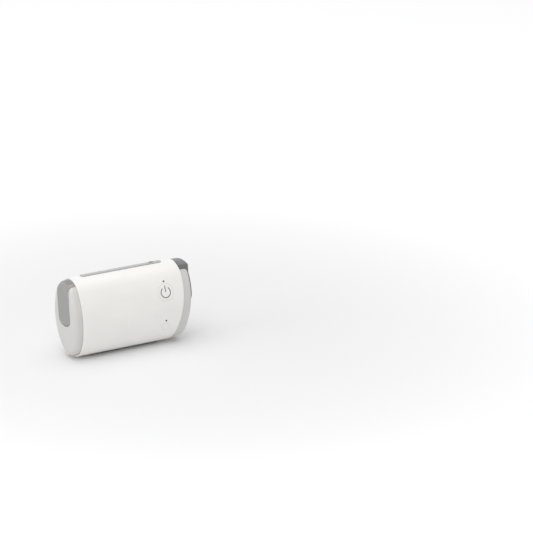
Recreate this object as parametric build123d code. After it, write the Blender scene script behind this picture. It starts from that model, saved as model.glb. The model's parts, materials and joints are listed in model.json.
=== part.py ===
from build123d import *
import math
import os

# Travel CPAP machine: a lens-shaped white sleeve closed by two grey end caps,
# with a blower, a board and the air path inside.
#
# Everything is drawn in the housing's own upright frame: X runs along the
# machine from the air inlet (-X) to the air outlet (+X), -Y is the front face,
# +Z is up and the origin is the middle of the section.  At the end the whole
# machine leans back on its foot and stands on z = 0.  All sizes are millimetres.
# Each block of sizes ends with the places worked out from them, so that the pieces
# stay together when the housing is made larger or smaller.

FAR = 100.0                 # beyond every surface

# ---------------------------------------------------------------- housing
LENGTH = 136.0              # over both ends
SECTION_DEPTH = 51.6        # sleeve, front to back
SECTION_HEIGHT = 80.8       # sleeve, top to bottom
END_ROUNDNESS = 0.407       # radius of the section's top and bottom, per depth
LEAN = 6.0                  # degrees that the front face leans back
SLEEVE_WALL = 1.6
RIM_ROUND = 0.4             # softened edge of both sleeve rims
INLET_SETBACK = 8.6         # sleeve rim to the inlet end face
OUTLET_SETBACK = 10.4       # sleeve rim to the outlet end face
INLET_FACE_RADIUS = 520.0   # slow curve of the inlet face, seen from the front
INLET_APEX_DROP = 9.4       # that curve's foremost point, below the upper arc centre
OUTLET_RIM_RADIUS = 200.0   # the same for the sleeve's outlet rim
OUTLET_FACE_RADIUS = 300.0  # and for the outlet face
OUTLET_APEX_RISE = 12.0     # foremost point of both, above the upper arc centre
CAP_STEP = 1.9              # cap surface below the sleeve surface
CAP_WALL = 1.8
CAP_ROUND = 4.5             # rounded edge of both end faces
INLET_LAP = 10.5            # how far the inlet cap reaches inside the sleeve
OUTLET_LAP = 7.0            # the same for the outlet cap, along its curved rim
FIT_GAP = 0.3               # between curved walls that lie along each other
PANEL_PROUD = 0.8           # outlet panel beyond the outlet cap's face
FOOT_PROUD = 2.0            # foot strip below the sleeve

HALF_DEPTH = SECTION_DEPTH / 2
HALF_HEIGHT = SECTION_HEIGHT / 2
END_RADIUS = END_ROUNDNESS * SECTION_DEPTH
ARC_HEIGHT = HALF_HEIGHT - END_RADIUS
FLANK_RADIUS = (HALF_DEPTH ** 2 + ARC_HEIGHT ** 2 - END_RADIUS ** 2) / (2 * (HALF_DEPTH - END_RADIUS))
SECTION_CENTRE = FOOT_PROUD + ARC_HEIGHT * math.cos(math.radians(LEAN)) + END_RADIUS
INLET_FACE = -LENGTH / 2
INLET_RIM = INLET_FACE + INLET_SETBACK
INLET_FACE_APEX = ARC_HEIGHT - INLET_APEX_DROP
OUTLET_FACE = LENGTH / 2 - PANEL_PROUD
OUTLET_RIM = OUTLET_FACE - OUTLET_SETBACK
OUTLET_APEX = ARC_HEIGHT + OUTLET_APEX_RISE
CAP_INNER = CAP_STEP + CAP_WALL
INLET_CAP_END = INLET_RIM + INLET_LAP
OUTLET_CAP_END = OUTLET_RIM - OUTLET_LAP
CAP_ROOT = OUTLET_CAP_END - HALF_DEPTH    # behind the lowest point of the outlet cap's curve

# ---------------------------------------------------------------- air inlet
COVER_WIDTH = 24.0
COVER_TAIL = 7.0            # height of the cover's rounded lower end
COVER_DROP = 19.4           # widest point of that end, below the upper arc centre
COVER_WALL = 2.0
COVER_GAP = 0.45            # air gap round the cover
COVER_UNDERCUT = 0.6        # air gap behind the cover
RECESS_WALL = 1.4           # cap wall behind and beside the cover
SLOT_WIDTH = 0.9            # inlet slots over the top of the cover
SLOT_PITCH = 2.6
SLOT_COUNT = 7
PEG_RADIUS = 1.1            # locating pegs of the cover
PEG_CLEARANCE = 0.15
PEG_LENGTH = 3.0
PEG_SPREAD = 12.0           # between the two pegs
PEG_RISE = 0.5              # above the widest point of the cover's rounded end
FILTER_WIDTH = 18.0
FILTER_HEIGHT = 24.0
FILTER_THICKNESS = 4.0
FILTER_RISE = 17.0          # middle of the filter, from the same point
FILTER_ROUND = 2.5
FILTER_CLEARANCE = 0.3
GRID_BAR = 1.0
GRID_ROW_COUNT = 5          # openings behind the filter, one above the other
FOAM_LENGTH = 7.0

COVER_BASE = ARC_HEIGHT - COVER_DROP
PEG_HEIGHT = COVER_BASE + PEG_RISE
FILTER_CENTRE = COVER_BASE + FILTER_RISE
FLOOR_INSET = CAP_STEP + COVER_WALL + COVER_UNDERCUT
FILTER_FRONT = INLET_FACE + COVER_WALL + COVER_UNDERCUT + RECESS_WALL
FILTER_BACK = FILTER_FRONT + FILTER_THICKNESS

# ---------------------------------------------------------------- air outlet
PANEL_CROWN_RADIUS = 40.0
PANEL_CROWN_LIFT = 1.0      # panel crown above the cap's own crown
PANEL_SUNK = 0.8            # panel let into the cap
PANEL_CORNER = 1.3          # from the crown to the end face
PANEL_EDGE = 0.6
PANEL_GAP = 0.1
PLATE_INSET = 4.5           # panel's end plate in from the sleeve surface
PLATE_RISE = 16.0           # widest point of the plate's rounded end, above the cover's
PLATE_TAIL = 24.0           # height of that end
PLATE_NECK = 6.0            # hollow corner from the panel's top into the plate
PLATE_SHOULDER = 10.0       # rounded corner where the plate's sides turn inwards
PORT_BORE = 9.0             # radius of the hose connection
PORT_WALL = 1.7
PORT_LENGTH = 12.0
PORT_RISE = 17.5            # middle of the port, above the panel's widest point
PORT_FLANGE = 2.0
SEAL_SECTION = 1.6
HOLE_CLEARANCE = 0.2
DUCT_WALL = 1.4
CUFF_LAP = 3.0              # duct pushed over the scroll and over the port
CUFF_CLEARANCE = 0.05
JACK_BORE = 3.25
JACK_BODY = 8.6             # side of the square jack body
JACK_DEPTH = 9.0
JACK_NOSE = 4.2             # radius of the jack's round nose
JACK_DROP = 0.4             # middle of the jack, below the panel's widest point
JACK_COLLAR = 2.0           # cap boss round the jack's nose
JACK_PIN = 1.0              # radius of the contact pin
PIN_SHORT = 1.5             # from the jack's face back to the pin's tip

PLATE_BASE = COVER_BASE + PLATE_RISE
PORT_HEIGHT = COVER_BASE + PORT_RISE
PORT_OUTER = PORT_BORE + PORT_WALL
FLANGE_RADIUS = PORT_OUTER + PORT_FLANGE
PORT_FACE = LENGTH / 2 - PANEL_PROUD / 2
PORT_START = PORT_FACE - PORT_LENGTH
DUCT_END = PORT_START - DUCT_WALL
JACK_HEIGHT = COVER_BASE - JACK_DROP

# ---------------------------------------------------------------- controls
BUTTON_IN = 21.4            # start button in from the outlet rim
WIRELESS_SHIFT = 1.2        # wireless button past the start button, towards the inlet
START_DROP = 5.4            # start button below the upper arc centre
START_RADIUS = 8.6
WIRELESS_DROP = 2.0         # wireless button below the lower arc centre
WIRELESS_RADIUS = 4.0
START_LIGHT_RISE = 10.9     # lights above their buttons
WIRELESS_LIGHT_RISE = 6.1
BUTTON_GAP = 0.15
BUTTON_TRAVEL = 0.6
BUTTON_WALL = 1.5
BUTTON_FLANGE = 0.9         # catches behind the sleeve wall
FLANGE_WALL = 0.7
FLANGE_GAP = 0.05
FLANGE_ROOM = 0.6           # round the flange, inside the chassis opening
LIGHT_RADIUS = 0.95
LIGHT_BASE = 1.6            # radius of the light guide's foot
LIGHT_NECK = 1.8            # from the sleeve wall to that foot
PLUNGER_RADIUS = 1.4
PLUNGER_LENGTH = 1.0
CONTACT_GAP = 0.02          # plunger to switch dome
SWITCH_SIDE = 5.2
SWITCH_HEIGHT = 1.6

BUTTON_X = OUTLET_RIM - BUTTON_IN
WIRELESS_X = BUTTON_X - WIRELESS_SHIFT
START_HEIGHT = ARC_HEIGHT - START_DROP
WIRELESS_HEIGHT = -ARC_HEIGHT - WIRELESS_DROP
START_LIGHT_HEIGHT = START_HEIGHT + START_LIGHT_RISE
WIRELESS_LIGHT_HEIGHT = WIRELESS_HEIGHT + WIRELESS_LIGHT_RISE
LIGHTS = [(BUTTON_X, START_LIGHT_HEIGHT), (WIRELESS_X, WIRELESS_LIGHT_HEIGHT)]

# ---------------------------------------------------------------- strips
FOOT_WIDTH = 10.0
FOOT_FROM_INLET = 13.9      # foot strip in from the inlet rim
FOOT_FROM_OUTLET = 20.3
FOOT_EDGE = 0.4
STRIP_PROUD = 1.0
STRIP_WIDTH = 7.0
STRIP_FROM_INLET = 12.0     # top strip in from the inlet rim
STRIP_FROM_OUTLET = 12.6
STRIP_DEPTH = 0.7           # strip bedded in the sleeve's groove
BED_GAP = 0.02
PLUG_LENGTH = 5.0
PLUG_WIDTH = 3.0
PLUG_PROUD = 0.5
PLUG_IN = 11.2              # plug in from the strip's outlet end

FOOT_START = INLET_RIM + FOOT_FROM_INLET
FOOT_END = OUTLET_RIM - FOOT_FROM_OUTLET
STRIP_START = INLET_RIM + STRIP_FROM_INLET
STRIP_END = OUTLET_RIM - STRIP_FROM_OUTLET
PLUG_X = STRIP_END - PLUG_IN

# ---------------------------------------------------------------- blower
BLOWER_IN = 35.9            # blower axis in from the end of the inlet cap
BLOWER_DROP = 0.068         # axis below the middle, per section height
BLOWER_INSET = 13.8         # blower base in from the back of the section
BLOWER_WALL = 1.5
SCROLL_DEPTH = 9.0          # air passage, front to back
SCROLL_GROWTH = 0.137       # for each quarter turn, per impeller radius
SCROLL_OUT = 26.0           # outlet length from the blower's axis
EYE_RADIUS = 8.5
LIP_HEIGHT = 2.0
IMPELLER_SIZE = 0.2166      # impeller radius per section height
TIP_GAP = 1.5               # impeller to the start of the scroll
IMPELLER_GAP = 0.8          # above and below the impeller
IMPELLER_DISC = 1.0
HUB_RADIUS = 4.5
BLADE_COUNT = 9
BLADE_THICKNESS = 0.9
BLADE_SWEEP = 62.0          # degrees that a blade runs back from hub to tip
BLADE_BEND = 0.36           # share of that sweep reached halfway out
SHAFT_RADIUS = 1.5
SHAFT_FIT = 0.01
SHAFT_SHORT = 0.1           # shaft inside the motor cup's outer face
BEARING_RADIUS = 4.0
RUNNING_GAP = 0.05
MAGNET_RADIUS = 5.0
MAGNET_GAP = 0.6
MAGNET_SHORT = 0.7          # magnet inside both ends of the stator
STATOR_RADIUS = 11.0
STATOR_LENGTH = 5.0
STATOR_RING = 1.6           # width of the lamination ring
STATOR_FIT = 0.1
STATOR_END_GAP = 0.3
TOOTH_COUNT = 6
TOOTH_WIDTH = 1.8
COIL_WIDTH = 3.8
COIL_OVERHANG = 0.6         # windings beyond both ends of the steel
MOTOR_WALL = 1.2
ISOLATOR_RADIUS = 3.6
ISOLATOR_HEIGHT = 2.5
EAR_DIRECTIONS = (-35, 113, 218)
EAR_OVERHANG = 0.6          # rubber mounts beyond the scroll's outer wall

BLOWER_X = INLET_CAP_END + BLOWER_IN
BLOWER_HEIGHT = -BLOWER_DROP * SECTION_HEIGHT
BLOWER_BACK = HALF_DEPTH - BLOWER_INSET
BLOWER_FRONT = BLOWER_BACK - SCROLL_DEPTH - 2 * BLOWER_WALL
LID_BACK = BLOWER_FRONT + BLOWER_WALL
FLOOR_FRONT = BLOWER_BACK - BLOWER_WALL
SCROLL_MIDDLE = (BLOWER_FRONT + BLOWER_BACK) / 2
IMPELLER_RADIUS = IMPELLER_SIZE * SECTION_HEIGHT
SCROLL_RADIUS = IMPELLER_RADIUS + TIP_GAP
SCROLL_STEP = SCROLL_GROWTH * IMPELLER_RADIUS
SCROLL_MOUTH = 4 * SCROLL_STEP
SCROLL_TOP = BLOWER_HEIGHT + SCROLL_RADIUS + SCROLL_MOUTH
MOUTH_HEIGHT = SCROLL_TOP - SCROLL_MOUTH / 2
DUCT_START = BLOWER_X + SCROLL_OUT + FIT_GAP
DISC_BACK = FLOOR_FRONT - IMPELLER_GAP
BLADE_FRONT = LID_BACK + IMPELLER_GAP
STATOR_FRONT = BLOWER_BACK + STATOR_END_GAP
MOTOR_BACK = STATOR_FRONT + STATOR_LENGTH + STATOR_END_GAP + MOTOR_WALL

# ---------------------------------------------------------------- electronics
BOARD_INSET = 11.8          # board face in from the front of the section
BOARD_THICKNESS = 1.6
BOARD_BEFORE = 25.4         # board past the buttons, towards the inlet
BOARD_BEYOND = 8.6          # board past the buttons, towards the outlet
BOARD_OVER = 6.1            # board above and below the section's arc centres
BOARD_ROUND = 2.0
BOARD_MARGIN = 3.6          # board edge to screw centre
MID_SCREW_DROP = 18.5       # screw between the buttons, below the start button
CHIP_HEIGHT = 1.2
COIL_HEIGHT = 3.2
BLOCK_PARTS = (             # from the middle of the board: across, up, width, height, thickness
    (-6, 11, 9.0, 9.0, CHIP_HEIGHT),
    (6, 13, 5.0, 4.0, CHIP_HEIGHT),
    (6, -11, 6.0, 6.0, CHIP_HEIGHT),
    (-8, -2, 4.0, 5.0, CHIP_HEIGHT),
    (-8, -11, 5.0, 5.0, COIL_HEIGHT),
)
CAPACITOR_RADIUS = 1.8
CAPACITOR_HEIGHT = 3.4
CAPACITOR_PITCH = 5.5
CAPACITOR_COUNT = 3
CAPACITOR_DROP = 17.0       # row of capacitors below the middle of the board
SENSOR_SIDE = 6.5
SENSOR_RISE = 0.25          # sensor above the middle of the board
NIPPLE_RADIUS = 0.9
TUBE_WALL = 0.7
TUBE_BEND = 4.0
SCREW_RADIUS = 1.0
SCREW_HEAD = 1.9
SCREW_HEAD_HEIGHT = 1.2
SCREW_CLEARANCE = 0.2
BOARD_SCREW_REACH = 2.0
BOARD_HOLE_CLEARANCE = 0.15
POST_RADIUS = 2.6
CHASSIS_WALL = 1.5
CHASSIS_SCREW_IN = 5.0      # from the inlet end of the chassis
CHASSIS_SCREW_DROP = 9.4    # screws in from the top and bottom of the section
CHASSIS_SCREW_REACH = 9.0
SPLIT_GAP = 0.1

BOARD_FRONT = BOARD_INSET - HALF_DEPTH
BOARD_BACK = BOARD_FRONT + BOARD_THICKNESS
BOARD_START = BUTTON_X - BOARD_BEFORE
BOARD_END = BUTTON_X + BOARD_BEYOND
BOARD_TOP = ARC_HEIGHT + BOARD_OVER
BOARD_X = (BOARD_START + BOARD_END) / 2
SWITCH_FACE = BOARD_FRONT - SWITCH_HEIGHT
STEM_END = SWITCH_FACE - CONTACT_GAP - PLUNGER_LENGTH
SENSOR_X = BOARD_X + SENSOR_SIDE
INNER = SLEEVE_WALL + FIT_GAP
CHASSIS_START = INLET_CAP_END + FIT_GAP
CHASSIS_END = OUTLET_CAP_END - FIT_GAP
CHASSIS_SCREW_HEIGHT = HALF_HEIGHT - CHASSIS_SCREW_DROP
CHASSIS_SCREWS = [
    (x, z)
    for x in (CHASSIS_START + CHASSIS_SCREW_IN, BUTTON_X - POST_RADIUS)
    for z in (-CHASSIS_SCREW_HEIGHT, CHASSIS_SCREW_HEIGHT)
]


def front_to_back(height, inset=0.0):
    """Half depth of the section at a height, measured on a surface set in by inset."""
    height = abs(height)
    turn = math.atan2(ARC_HEIGHT, FLANK_RADIUS - HALF_DEPTH)
    if height <= (FLANK_RADIUS - inset) * math.sin(turn):
        return HALF_DEPTH - FLANK_RADIUS + math.sqrt((FLANK_RADIUS - inset) ** 2 - height ** 2)
    return math.sqrt((END_RADIUS - inset) ** 2 - (height - ARC_HEIGHT) ** 2)


def lens(inset=0.0):
    """The section in the YZ plane: two flank arcs joined by two tighter end arcs."""
    turn = math.atan2(ARC_HEIGHT, FLANK_RADIUS - HALF_DEPTH)
    flank = FLANK_RADIUS - inset
    side = HALF_DEPTH - FLANK_RADIUS + flank * math.cos(turn)
    shoulder = flank * math.sin(turn)
    depth = HALF_DEPTH - inset
    height = HALF_HEIGHT - inset
    arcs = [
        ThreePointArc((side, -shoulder), (depth, 0), (side, shoulder)),
        ThreePointArc((side, shoulder), (0, height), (-side, shoulder)),
        ThreePointArc((-side, shoulder), (-depth, 0), (-side, -shoulder)),
        ThreePointArc((-side, -shoulder), (0, -height), (side, -shoulder)),
    ]
    return Plane.YZ * make_face(arcs)


def bar(inset, start, end):
    """The section run along X from start to end."""
    return Pos(start, 0, 0) * extrude(lens(inset), end - start)


def bow(radius, rise):
    """How far an end's slow curve falls back at a distance from its foremost point."""
    return radius - math.sqrt(radius ** 2 - rise ** 2)


def bowed_end(face_x, radius, apex, outward):
    """Everything on the inner side of a slowly curved end, as a slab through the machine."""
    rise = 0.9 * FAR
    drop = bow(radius, rise)
    low, high = (face_x - outward * drop, apex - rise), (face_x - outward * drop, apex + rise)
    far_x = face_x - outward * 3 * FAR
    edges = [
        ThreePointArc(low, (face_x, apex), high),
        Line(high, (far_x, high[1])),
        Line((far_x, high[1]), (far_x, low[1])),
        Line((far_x, low[1]), low),
    ]
    return extrude(Plane.XZ * make_face(edges), FAR, both=True)


def rounded(solid, edges, radius):
    """Fillet only where there is a radius left to round with."""
    return fillet(edges, radius) if radius > 0.05 else solid


def inlet_blank(inset, end):
    """Solid inlet cap set in by inset on every outer side."""
    deeper = inset - CAP_STEP
    face = bowed_end(INLET_FACE + deeper, INLET_FACE_RADIUS - deeper, INLET_FACE_APEX, -1)
    blank = bar(inset, INLET_FACE - 1, end) & face
    edges = blank.faces().sort_by(Axis.X)[0].edges()
    return rounded(blank, edges, CAP_ROUND - deeper)


def outlet_blank(inset, start):
    """Solid outlet cap set in by inset on every outer side."""
    deeper = inset - CAP_STEP
    face = bowed_end(OUTLET_FACE - deeper, OUTLET_FACE_RADIUS - deeper, OUTLET_APEX, 1)
    blank = bar(inset, start, OUTLET_FACE + 1) & face
    edges = blank.faces().sort_by(Axis.X)[-1].edges()
    return rounded(blank, edges, CAP_ROUND - deeper)


def tail_face(half, base, tail):
    """Face in the YZ plane with straight sides and an elliptical lower end, open at the top."""
    edges = [
        EllipticalCenterArc((0, base), half, tail, start_angle=180, arc_size=180),
        Line((half, base), (half, FAR)),
        Line((half, FAR), (-half, FAR)),
        Line((-half, FAR), (-half, base)),
    ]
    return Plane.YZ * make_face(edges)


def tongue_face(margin):
    return tail_face(COVER_WIDTH / 2 + margin, COVER_BASE, COVER_TAIL + 2 * margin)


def tongue(margin, start, end):
    """The tongue's outline as a prism along X."""
    return Pos(start, 0, 0) * extrude(tongue_face(margin), end - start)


def rod_y(x, height, radius, start, end):
    """Cylinder along Y between two depths."""
    return Pos(x, (start + end) / 2, height) * Rot(90, 0, 0) * Cylinder(radius, end - start)


def rod_x(y, height, radius, start, end):
    """Cylinder along X between two stations."""
    return Pos((start + end) / 2, y, height) * Rot(0, 90, 0) * Cylinder(radius, end - start)


def brick(x0, x1, y0, y1, z0, z1):
    """Box between two corners."""
    return Pos((x0 + x1) / 2, (y0 + y1) / 2, (z0 + z1) / 2) * Box(x1 - x0, y1 - y0, z1 - z0)


def soft_window(width, height, corner, centre, start, end):
    """Prism along X with a rounded rectangular outline."""
    outline = Plane.YZ * Pos(0, centre) * RectangleRounded(width, height, corner)
    return Pos(start, 0, 0) * extrude(outline, end - start)


def strip_outline(start, end, width):
    """Strip with round ends, drawn flat in the XY plane."""
    return Pos((start + end) / 2, 0) * SlotOverall(end - start, width)


# ---------------------------------------------------------------- outer sleeve
def outer_sleeve():
    body = bar(0, INLET_RIM, OUTLET_FACE)
    body = body & bowed_end(OUTLET_RIM, OUTLET_RIM_RADIUS, OUTLET_APEX, 1)
    rims = body.faces().sort_by(Axis.X)[0].edges() + body.faces().sort_by(Axis.X)[-1].edges()
    body = fillet(rims, RIM_ROUND)
    body = body - bar(SLEEVE_WALL, INLET_RIM - 1, OUTLET_FACE + 1)
    front = -FAR / 2
    body = body - rod_y(BUTTON_X, START_HEIGHT, START_RADIUS + BUTTON_GAP, front, 0)
    body = body - rod_y(WIRELESS_X, WIRELESS_HEIGHT, WIRELESS_RADIUS + BUTTON_GAP, front, 0)
    for x, height in LIGHTS:
        body = body - rod_y(x, height, LIGHT_RADIUS, front, 0)
    groove = extrude(strip_outline(STRIP_START, STRIP_END, STRIP_WIDTH), FAR)
    groove = groove - bar(STRIP_DEPTH, INLET_FACE, OUTLET_FACE)
    return body - groove


# ---------------------------------------------------------------- air inlet
def filter_pocket(margin, start, end):
    return soft_window(
        FILTER_WIDTH + 2 * margin, FILTER_HEIGHT + 2 * margin, FILTER_ROUND + margin,
        FILTER_CENTRE, start, end,
    )


def inlet_end_cap():
    shell = inlet_blank(CAP_STEP, INLET_CAP_END) - inlet_blank(CAP_INNER, INLET_CAP_END + 1)
    backing = inlet_blank(CAP_STEP, INLET_CAP_END)
    backing = backing - inlet_blank(FLOOR_INSET + RECESS_WALL, INLET_CAP_END + 1)
    backing = backing & tongue(COVER_GAP + RECESS_WALL, INLET_FACE - 1, INLET_RIM)
    floor = INLET_FACE + FLOOR_INSET - CAP_STEP
    box = filter_pocket(FILTER_CLEARANCE + GRID_BAR, floor, FILTER_BACK + GRID_BAR)
    cap = shell + backing + box
    recess = tongue(COVER_GAP, INLET_FACE - 1, INLET_RIM) - inlet_blank(FLOOR_INSET, INLET_RIM + 1)
    cap = cap - recess
    cap = cap - filter_pocket(FILTER_CLEARANCE, INLET_FACE - 1, FILTER_BACK)
    gap = (FILTER_HEIGHT - (GRID_ROW_COUNT - 1) * GRID_BAR) / GRID_ROW_COUNT
    for row in range(GRID_ROW_COUNT):
        low = FILTER_CENTRE - FILTER_HEIGHT / 2 + row * (gap + GRID_BAR)
        for side in (-1, 1):
            inner, outer = side * GRID_BAR / 2, side * FILTER_WIDTH / 2
            cap = cap - brick(FILTER_BACK - 1, FILTER_BACK + GRID_BAR + 1,
                              min(inner, outer), max(inner, outer), low, low + gap)
    for side in (-1, 1):
        y, hole = side * PEG_SPREAD / 2, PEG_RADIUS + PEG_CLEARANCE
        cap = cap - rod_x(y, PEG_HEIGHT, hole, INLET_FACE - 1, INLET_FACE + 3 * PEG_LENGTH)
    return cap


def filter_cover():
    end = INLET_RIM - COVER_GAP
    band = inlet_blank(CAP_STEP, end) - inlet_blank(CAP_STEP + COVER_WALL, end + 1)
    band = band & tongue(0, INLET_FACE - 1, end)
    slot_start = INLET_FACE + CAP_ROUND / 2
    for index in range(SLOT_COUNT):
        y = (index - (SLOT_COUNT - 1) / 2) * SLOT_PITCH
        near, far = y - SLOT_WIDTH / 2, y + SLOT_WIDTH / 2
        band = band - brick(slot_start, end - 1, near, far, ARC_HEIGHT, FAR / 2)
    for side in (-1, 1):
        y, start = side * PEG_SPREAD / 2, INLET_FACE + COVER_WALL / 2
        band = band + rod_x(y, PEG_HEIGHT, PEG_RADIUS, start, start + PEG_LENGTH + COVER_WALL)
    return band


def air_filter():
    return filter_pocket(0, FILTER_FRONT, FILTER_BACK)


def inlet_foam():
    start = FILTER_BACK + GRID_BAR + FIT_GAP
    block = bar(CAP_INNER + FIT_GAP, start, start + FOAM_LENGTH)
    return block - rod_x(0, FILTER_CENTRE, FILTER_WIDTH / 2, start - 1, start + FOAM_LENGTH + 1)


# ---------------------------------------------------------------- air outlet
def seat_station(lowest):
    """Where a flat seat can lie behind the cap's curved wall, down to a height."""
    return OUTLET_FACE - CAP_WALL - bow(OUTLET_FACE_RADIUS, OUTLET_APEX - lowest) - FIT_GAP


PORT_SEAT = seat_station(PORT_HEIGHT - FLANGE_RADIUS)
JACK_SEAT = seat_station(JACK_HEIGHT - JACK_NOSE - JACK_COLLAR)
PORT_SHOULDER = PORT_SEAT - SEAL_SECTION


def panel_prism(margin, start, end):
    """Tongue on top that spreads below into a plate inside the section's outline, run along X."""
    plate = lens(PLATE_INSET - margin) & tail_face(HALF_DEPTH, PLATE_BASE, PLATE_TAIL + margin)
    outline = tongue_face(margin) + plate
    necks = [corner for corner in outline.vertices() if abs(abs(corner.Y) - COVER_WIDTH / 2) < 1]
    necks = [corner for corner in necks if corner.Z < FAR / 2]
    outline = fillet(necks, PLATE_NECK)
    shoulders = [corner for corner in outline.vertices() if abs(corner.Z) < COVER_TAIL]
    outline = fillet(shoulders, PLATE_SHOULDER)
    return Pos(start, 0, 0) * extrude(outline, end - start)


def outlet_end_cap():
    solid = outlet_blank(CAP_STEP, CAP_ROOT)
    solid = solid - bowed_end(OUTLET_CAP_END, OUTLET_RIM_RADIUS, OUTLET_APEX, 1)
    cap = solid - outlet_blank(CAP_INNER, CAP_ROOT - 1)
    seats = rod_x(0, PORT_HEIGHT, FLANGE_RADIUS, PORT_SEAT, FAR)
    seats = seats + rod_x(0, JACK_HEIGHT, JACK_NOSE + JACK_COLLAR, JACK_SEAT, FAR)
    cap = cap + (seats & solid)
    cap = cap - rod_x(0, PORT_HEIGHT, FLANGE_RADIUS + HOLE_CLEARANCE, OUTLET_RIM, PORT_SEAT)
    recess = panel_prism(PANEL_GAP, OUTLET_RIM - 1, FAR)
    cap = cap - (recess - outlet_blank(CAP_STEP + PANEL_SUNK, CAP_ROOT))
    cap = cap - rod_x(0, PORT_HEIGHT, PORT_OUTER + HOLE_CLEARANCE, OUTLET_RIM, FAR)
    return cap - rod_x(0, JACK_HEIGHT, JACK_NOSE + HOLE_CLEARANCE, OUTLET_RIM, FAR)


def outlet_panel():
    """Raised block that wraps from the sleeve rim over the crown and ends as a plate on the cap."""
    start = OUTLET_RIM + COVER_GAP
    crown = HALF_HEIGHT - CAP_STEP + PANEL_CROWN_LIFT
    dome = rod_x(0, crown - PANEL_CROWN_RADIUS, PANEL_CROWN_RADIUS, start, FAR)
    face = bowed_end(LENGTH / 2, OUTLET_FACE_RADIUS + PANEL_PROUD, OUTLET_APEX, 1)
    block = panel_prism(0, start, FAR) & dome & face
    top = block.faces().sort_by(Axis.X)[-1].edges().sort_by(Axis.Z)[-1]
    block = fillet(top, PANEL_CORNER)
    rim = []
    for edge in block.edges():
        box = edge.bounding_box()
        on_back = box.max.X < start + 0.01
        across = box.size.Y > COVER_WIDTH / 2 and box.min.Z > COVER_BASE + 1
        wall_seam = box.size.X > CAP_ROUND and box.max.Z < HALF_HEIGHT - CAP_INNER
        if not (on_back or across or wall_seam):
            rim.append(edge)
    block = fillet(rim, PANEL_EDGE)
    block = block - outlet_blank(CAP_STEP + PANEL_SUNK - PANEL_GAP, CAP_ROOT)
    block = block - rod_x(0, PORT_HEIGHT, PORT_OUTER + HOLE_CLEARANCE, start - 1, FAR)
    return block - rod_x(0, JACK_HEIGHT, JACK_NOSE + HOLE_CLEARANCE, start - 1, FAR)


def outlet_port():
    collar = rod_x(0, PORT_HEIGHT, PORT_OUTER, PORT_START, PORT_FACE)
    collar = collar + rod_x(0, PORT_HEIGHT, FLANGE_RADIUS, PORT_SHOULDER - PORT_FLANGE, PORT_SHOULDER)
    collar = collar - rod_x(0, PORT_HEIGHT, PORT_BORE, PORT_START - 1, PORT_FACE + 1)
    return chamfer(collar.faces().sort_by(Axis.X)[-1].edges(), PORT_WALL / 5)


def outlet_seal():
    ring = rod_x(0, PORT_HEIGHT, FLANGE_RADIUS, PORT_SHOULDER, PORT_SEAT)
    return ring - rod_x(0, PORT_HEIGHT, PORT_OUTER + CUFF_CLEARANCE, PORT_SHOULDER - 1, PORT_SEAT + 1)


def duct_mouth(grow, start, end):
    """Square end of the duct, as a prism."""
    width = SCROLL_DEPTH + 2 * BLOWER_WALL + 2 * grow
    height = SCROLL_MOUTH + 2 * BLOWER_WALL + 2 * grow
    outline = Plane.YZ * Pos(SCROLL_MIDDLE, MOUTH_HEIGHT) * Rectangle(width, height)
    return Pos(start, 0, 0) * extrude(outline, end - start)


def duct_loft(wall):
    """Square mouth at the scroll that turns round at the port."""
    mouth = Plane(origin=(DUCT_START, SCROLL_MIDDLE, MOUTH_HEIGHT), x_dir=(0, 1, 0), z_dir=(1, 0, 0))
    port = Plane(origin=(DUCT_END, 0, PORT_HEIGHT), x_dir=(0, 1, 0), z_dir=(1, 0, 0))
    square = mouth * RectangleRounded(SCROLL_DEPTH + 2 * wall, SCROLL_MOUTH + 2 * wall, 1 + wall)
    circle = port * Circle(PORT_BORE + wall)
    return loft([square, circle])


def outlet_duct():
    duct = duct_loft(DUCT_WALL)
    duct = duct + duct_mouth(CUFF_CLEARANCE + DUCT_WALL, DUCT_START - CUFF_LAP, DUCT_START + DUCT_WALL)
    cuff = rod_x(0, PORT_HEIGHT, PORT_OUTER + CUFF_CLEARANCE + DUCT_WALL, DUCT_END, PORT_START + CUFF_LAP)
    duct = duct + cuff - duct_loft(0)
    duct = duct - duct_mouth(CUFF_CLEARANCE, DUCT_START - CUFF_LAP - 1, DUCT_START)
    duct = duct - rod_x(0, PORT_HEIGHT, PORT_BORE, DUCT_END, PORT_START)
    sleeve = PORT_OUTER + CUFF_CLEARANCE
    return duct - rod_x(0, PORT_HEIGHT, sleeve, PORT_START, PORT_START + CUFF_LAP + 1)


JACK_FACE = OUTLET_FACE - bow(OUTLET_FACE_RADIUS, OUTLET_APEX - JACK_HEIGHT + JACK_NOSE)


def power_jack():
    back = JACK_FACE - JACK_DEPTH - JACK_COLLAR
    half = JACK_BODY / 2
    body = brick(back, JACK_SEAT, -half, half, JACK_HEIGHT - half, JACK_HEIGHT + half)
    body = body + rod_x(0, JACK_HEIGHT, JACK_NOSE, JACK_SEAT, JACK_FACE)
    return body - rod_x(0, JACK_HEIGHT, JACK_BORE, JACK_FACE - JACK_DEPTH, JACK_FACE + 1)


def jack_pin():
    start = JACK_FACE - JACK_DEPTH
    pin = rod_x(0, JACK_HEIGHT, JACK_PIN, start, JACK_FACE - PIN_SHORT)
    return fillet(pin.edges().sort_by(Axis.X)[-1], JACK_PIN / 2)


# ---------------------------------------------------------------- controls
def layer(near, far):
    """Everything between two insets of the section, round the buttons."""
    start, end = BUTTON_X - FAR / 4, BUTTON_X + FAR / 4
    return bar(near, start, end) - bar(far, start - 1, end + 1)


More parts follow.
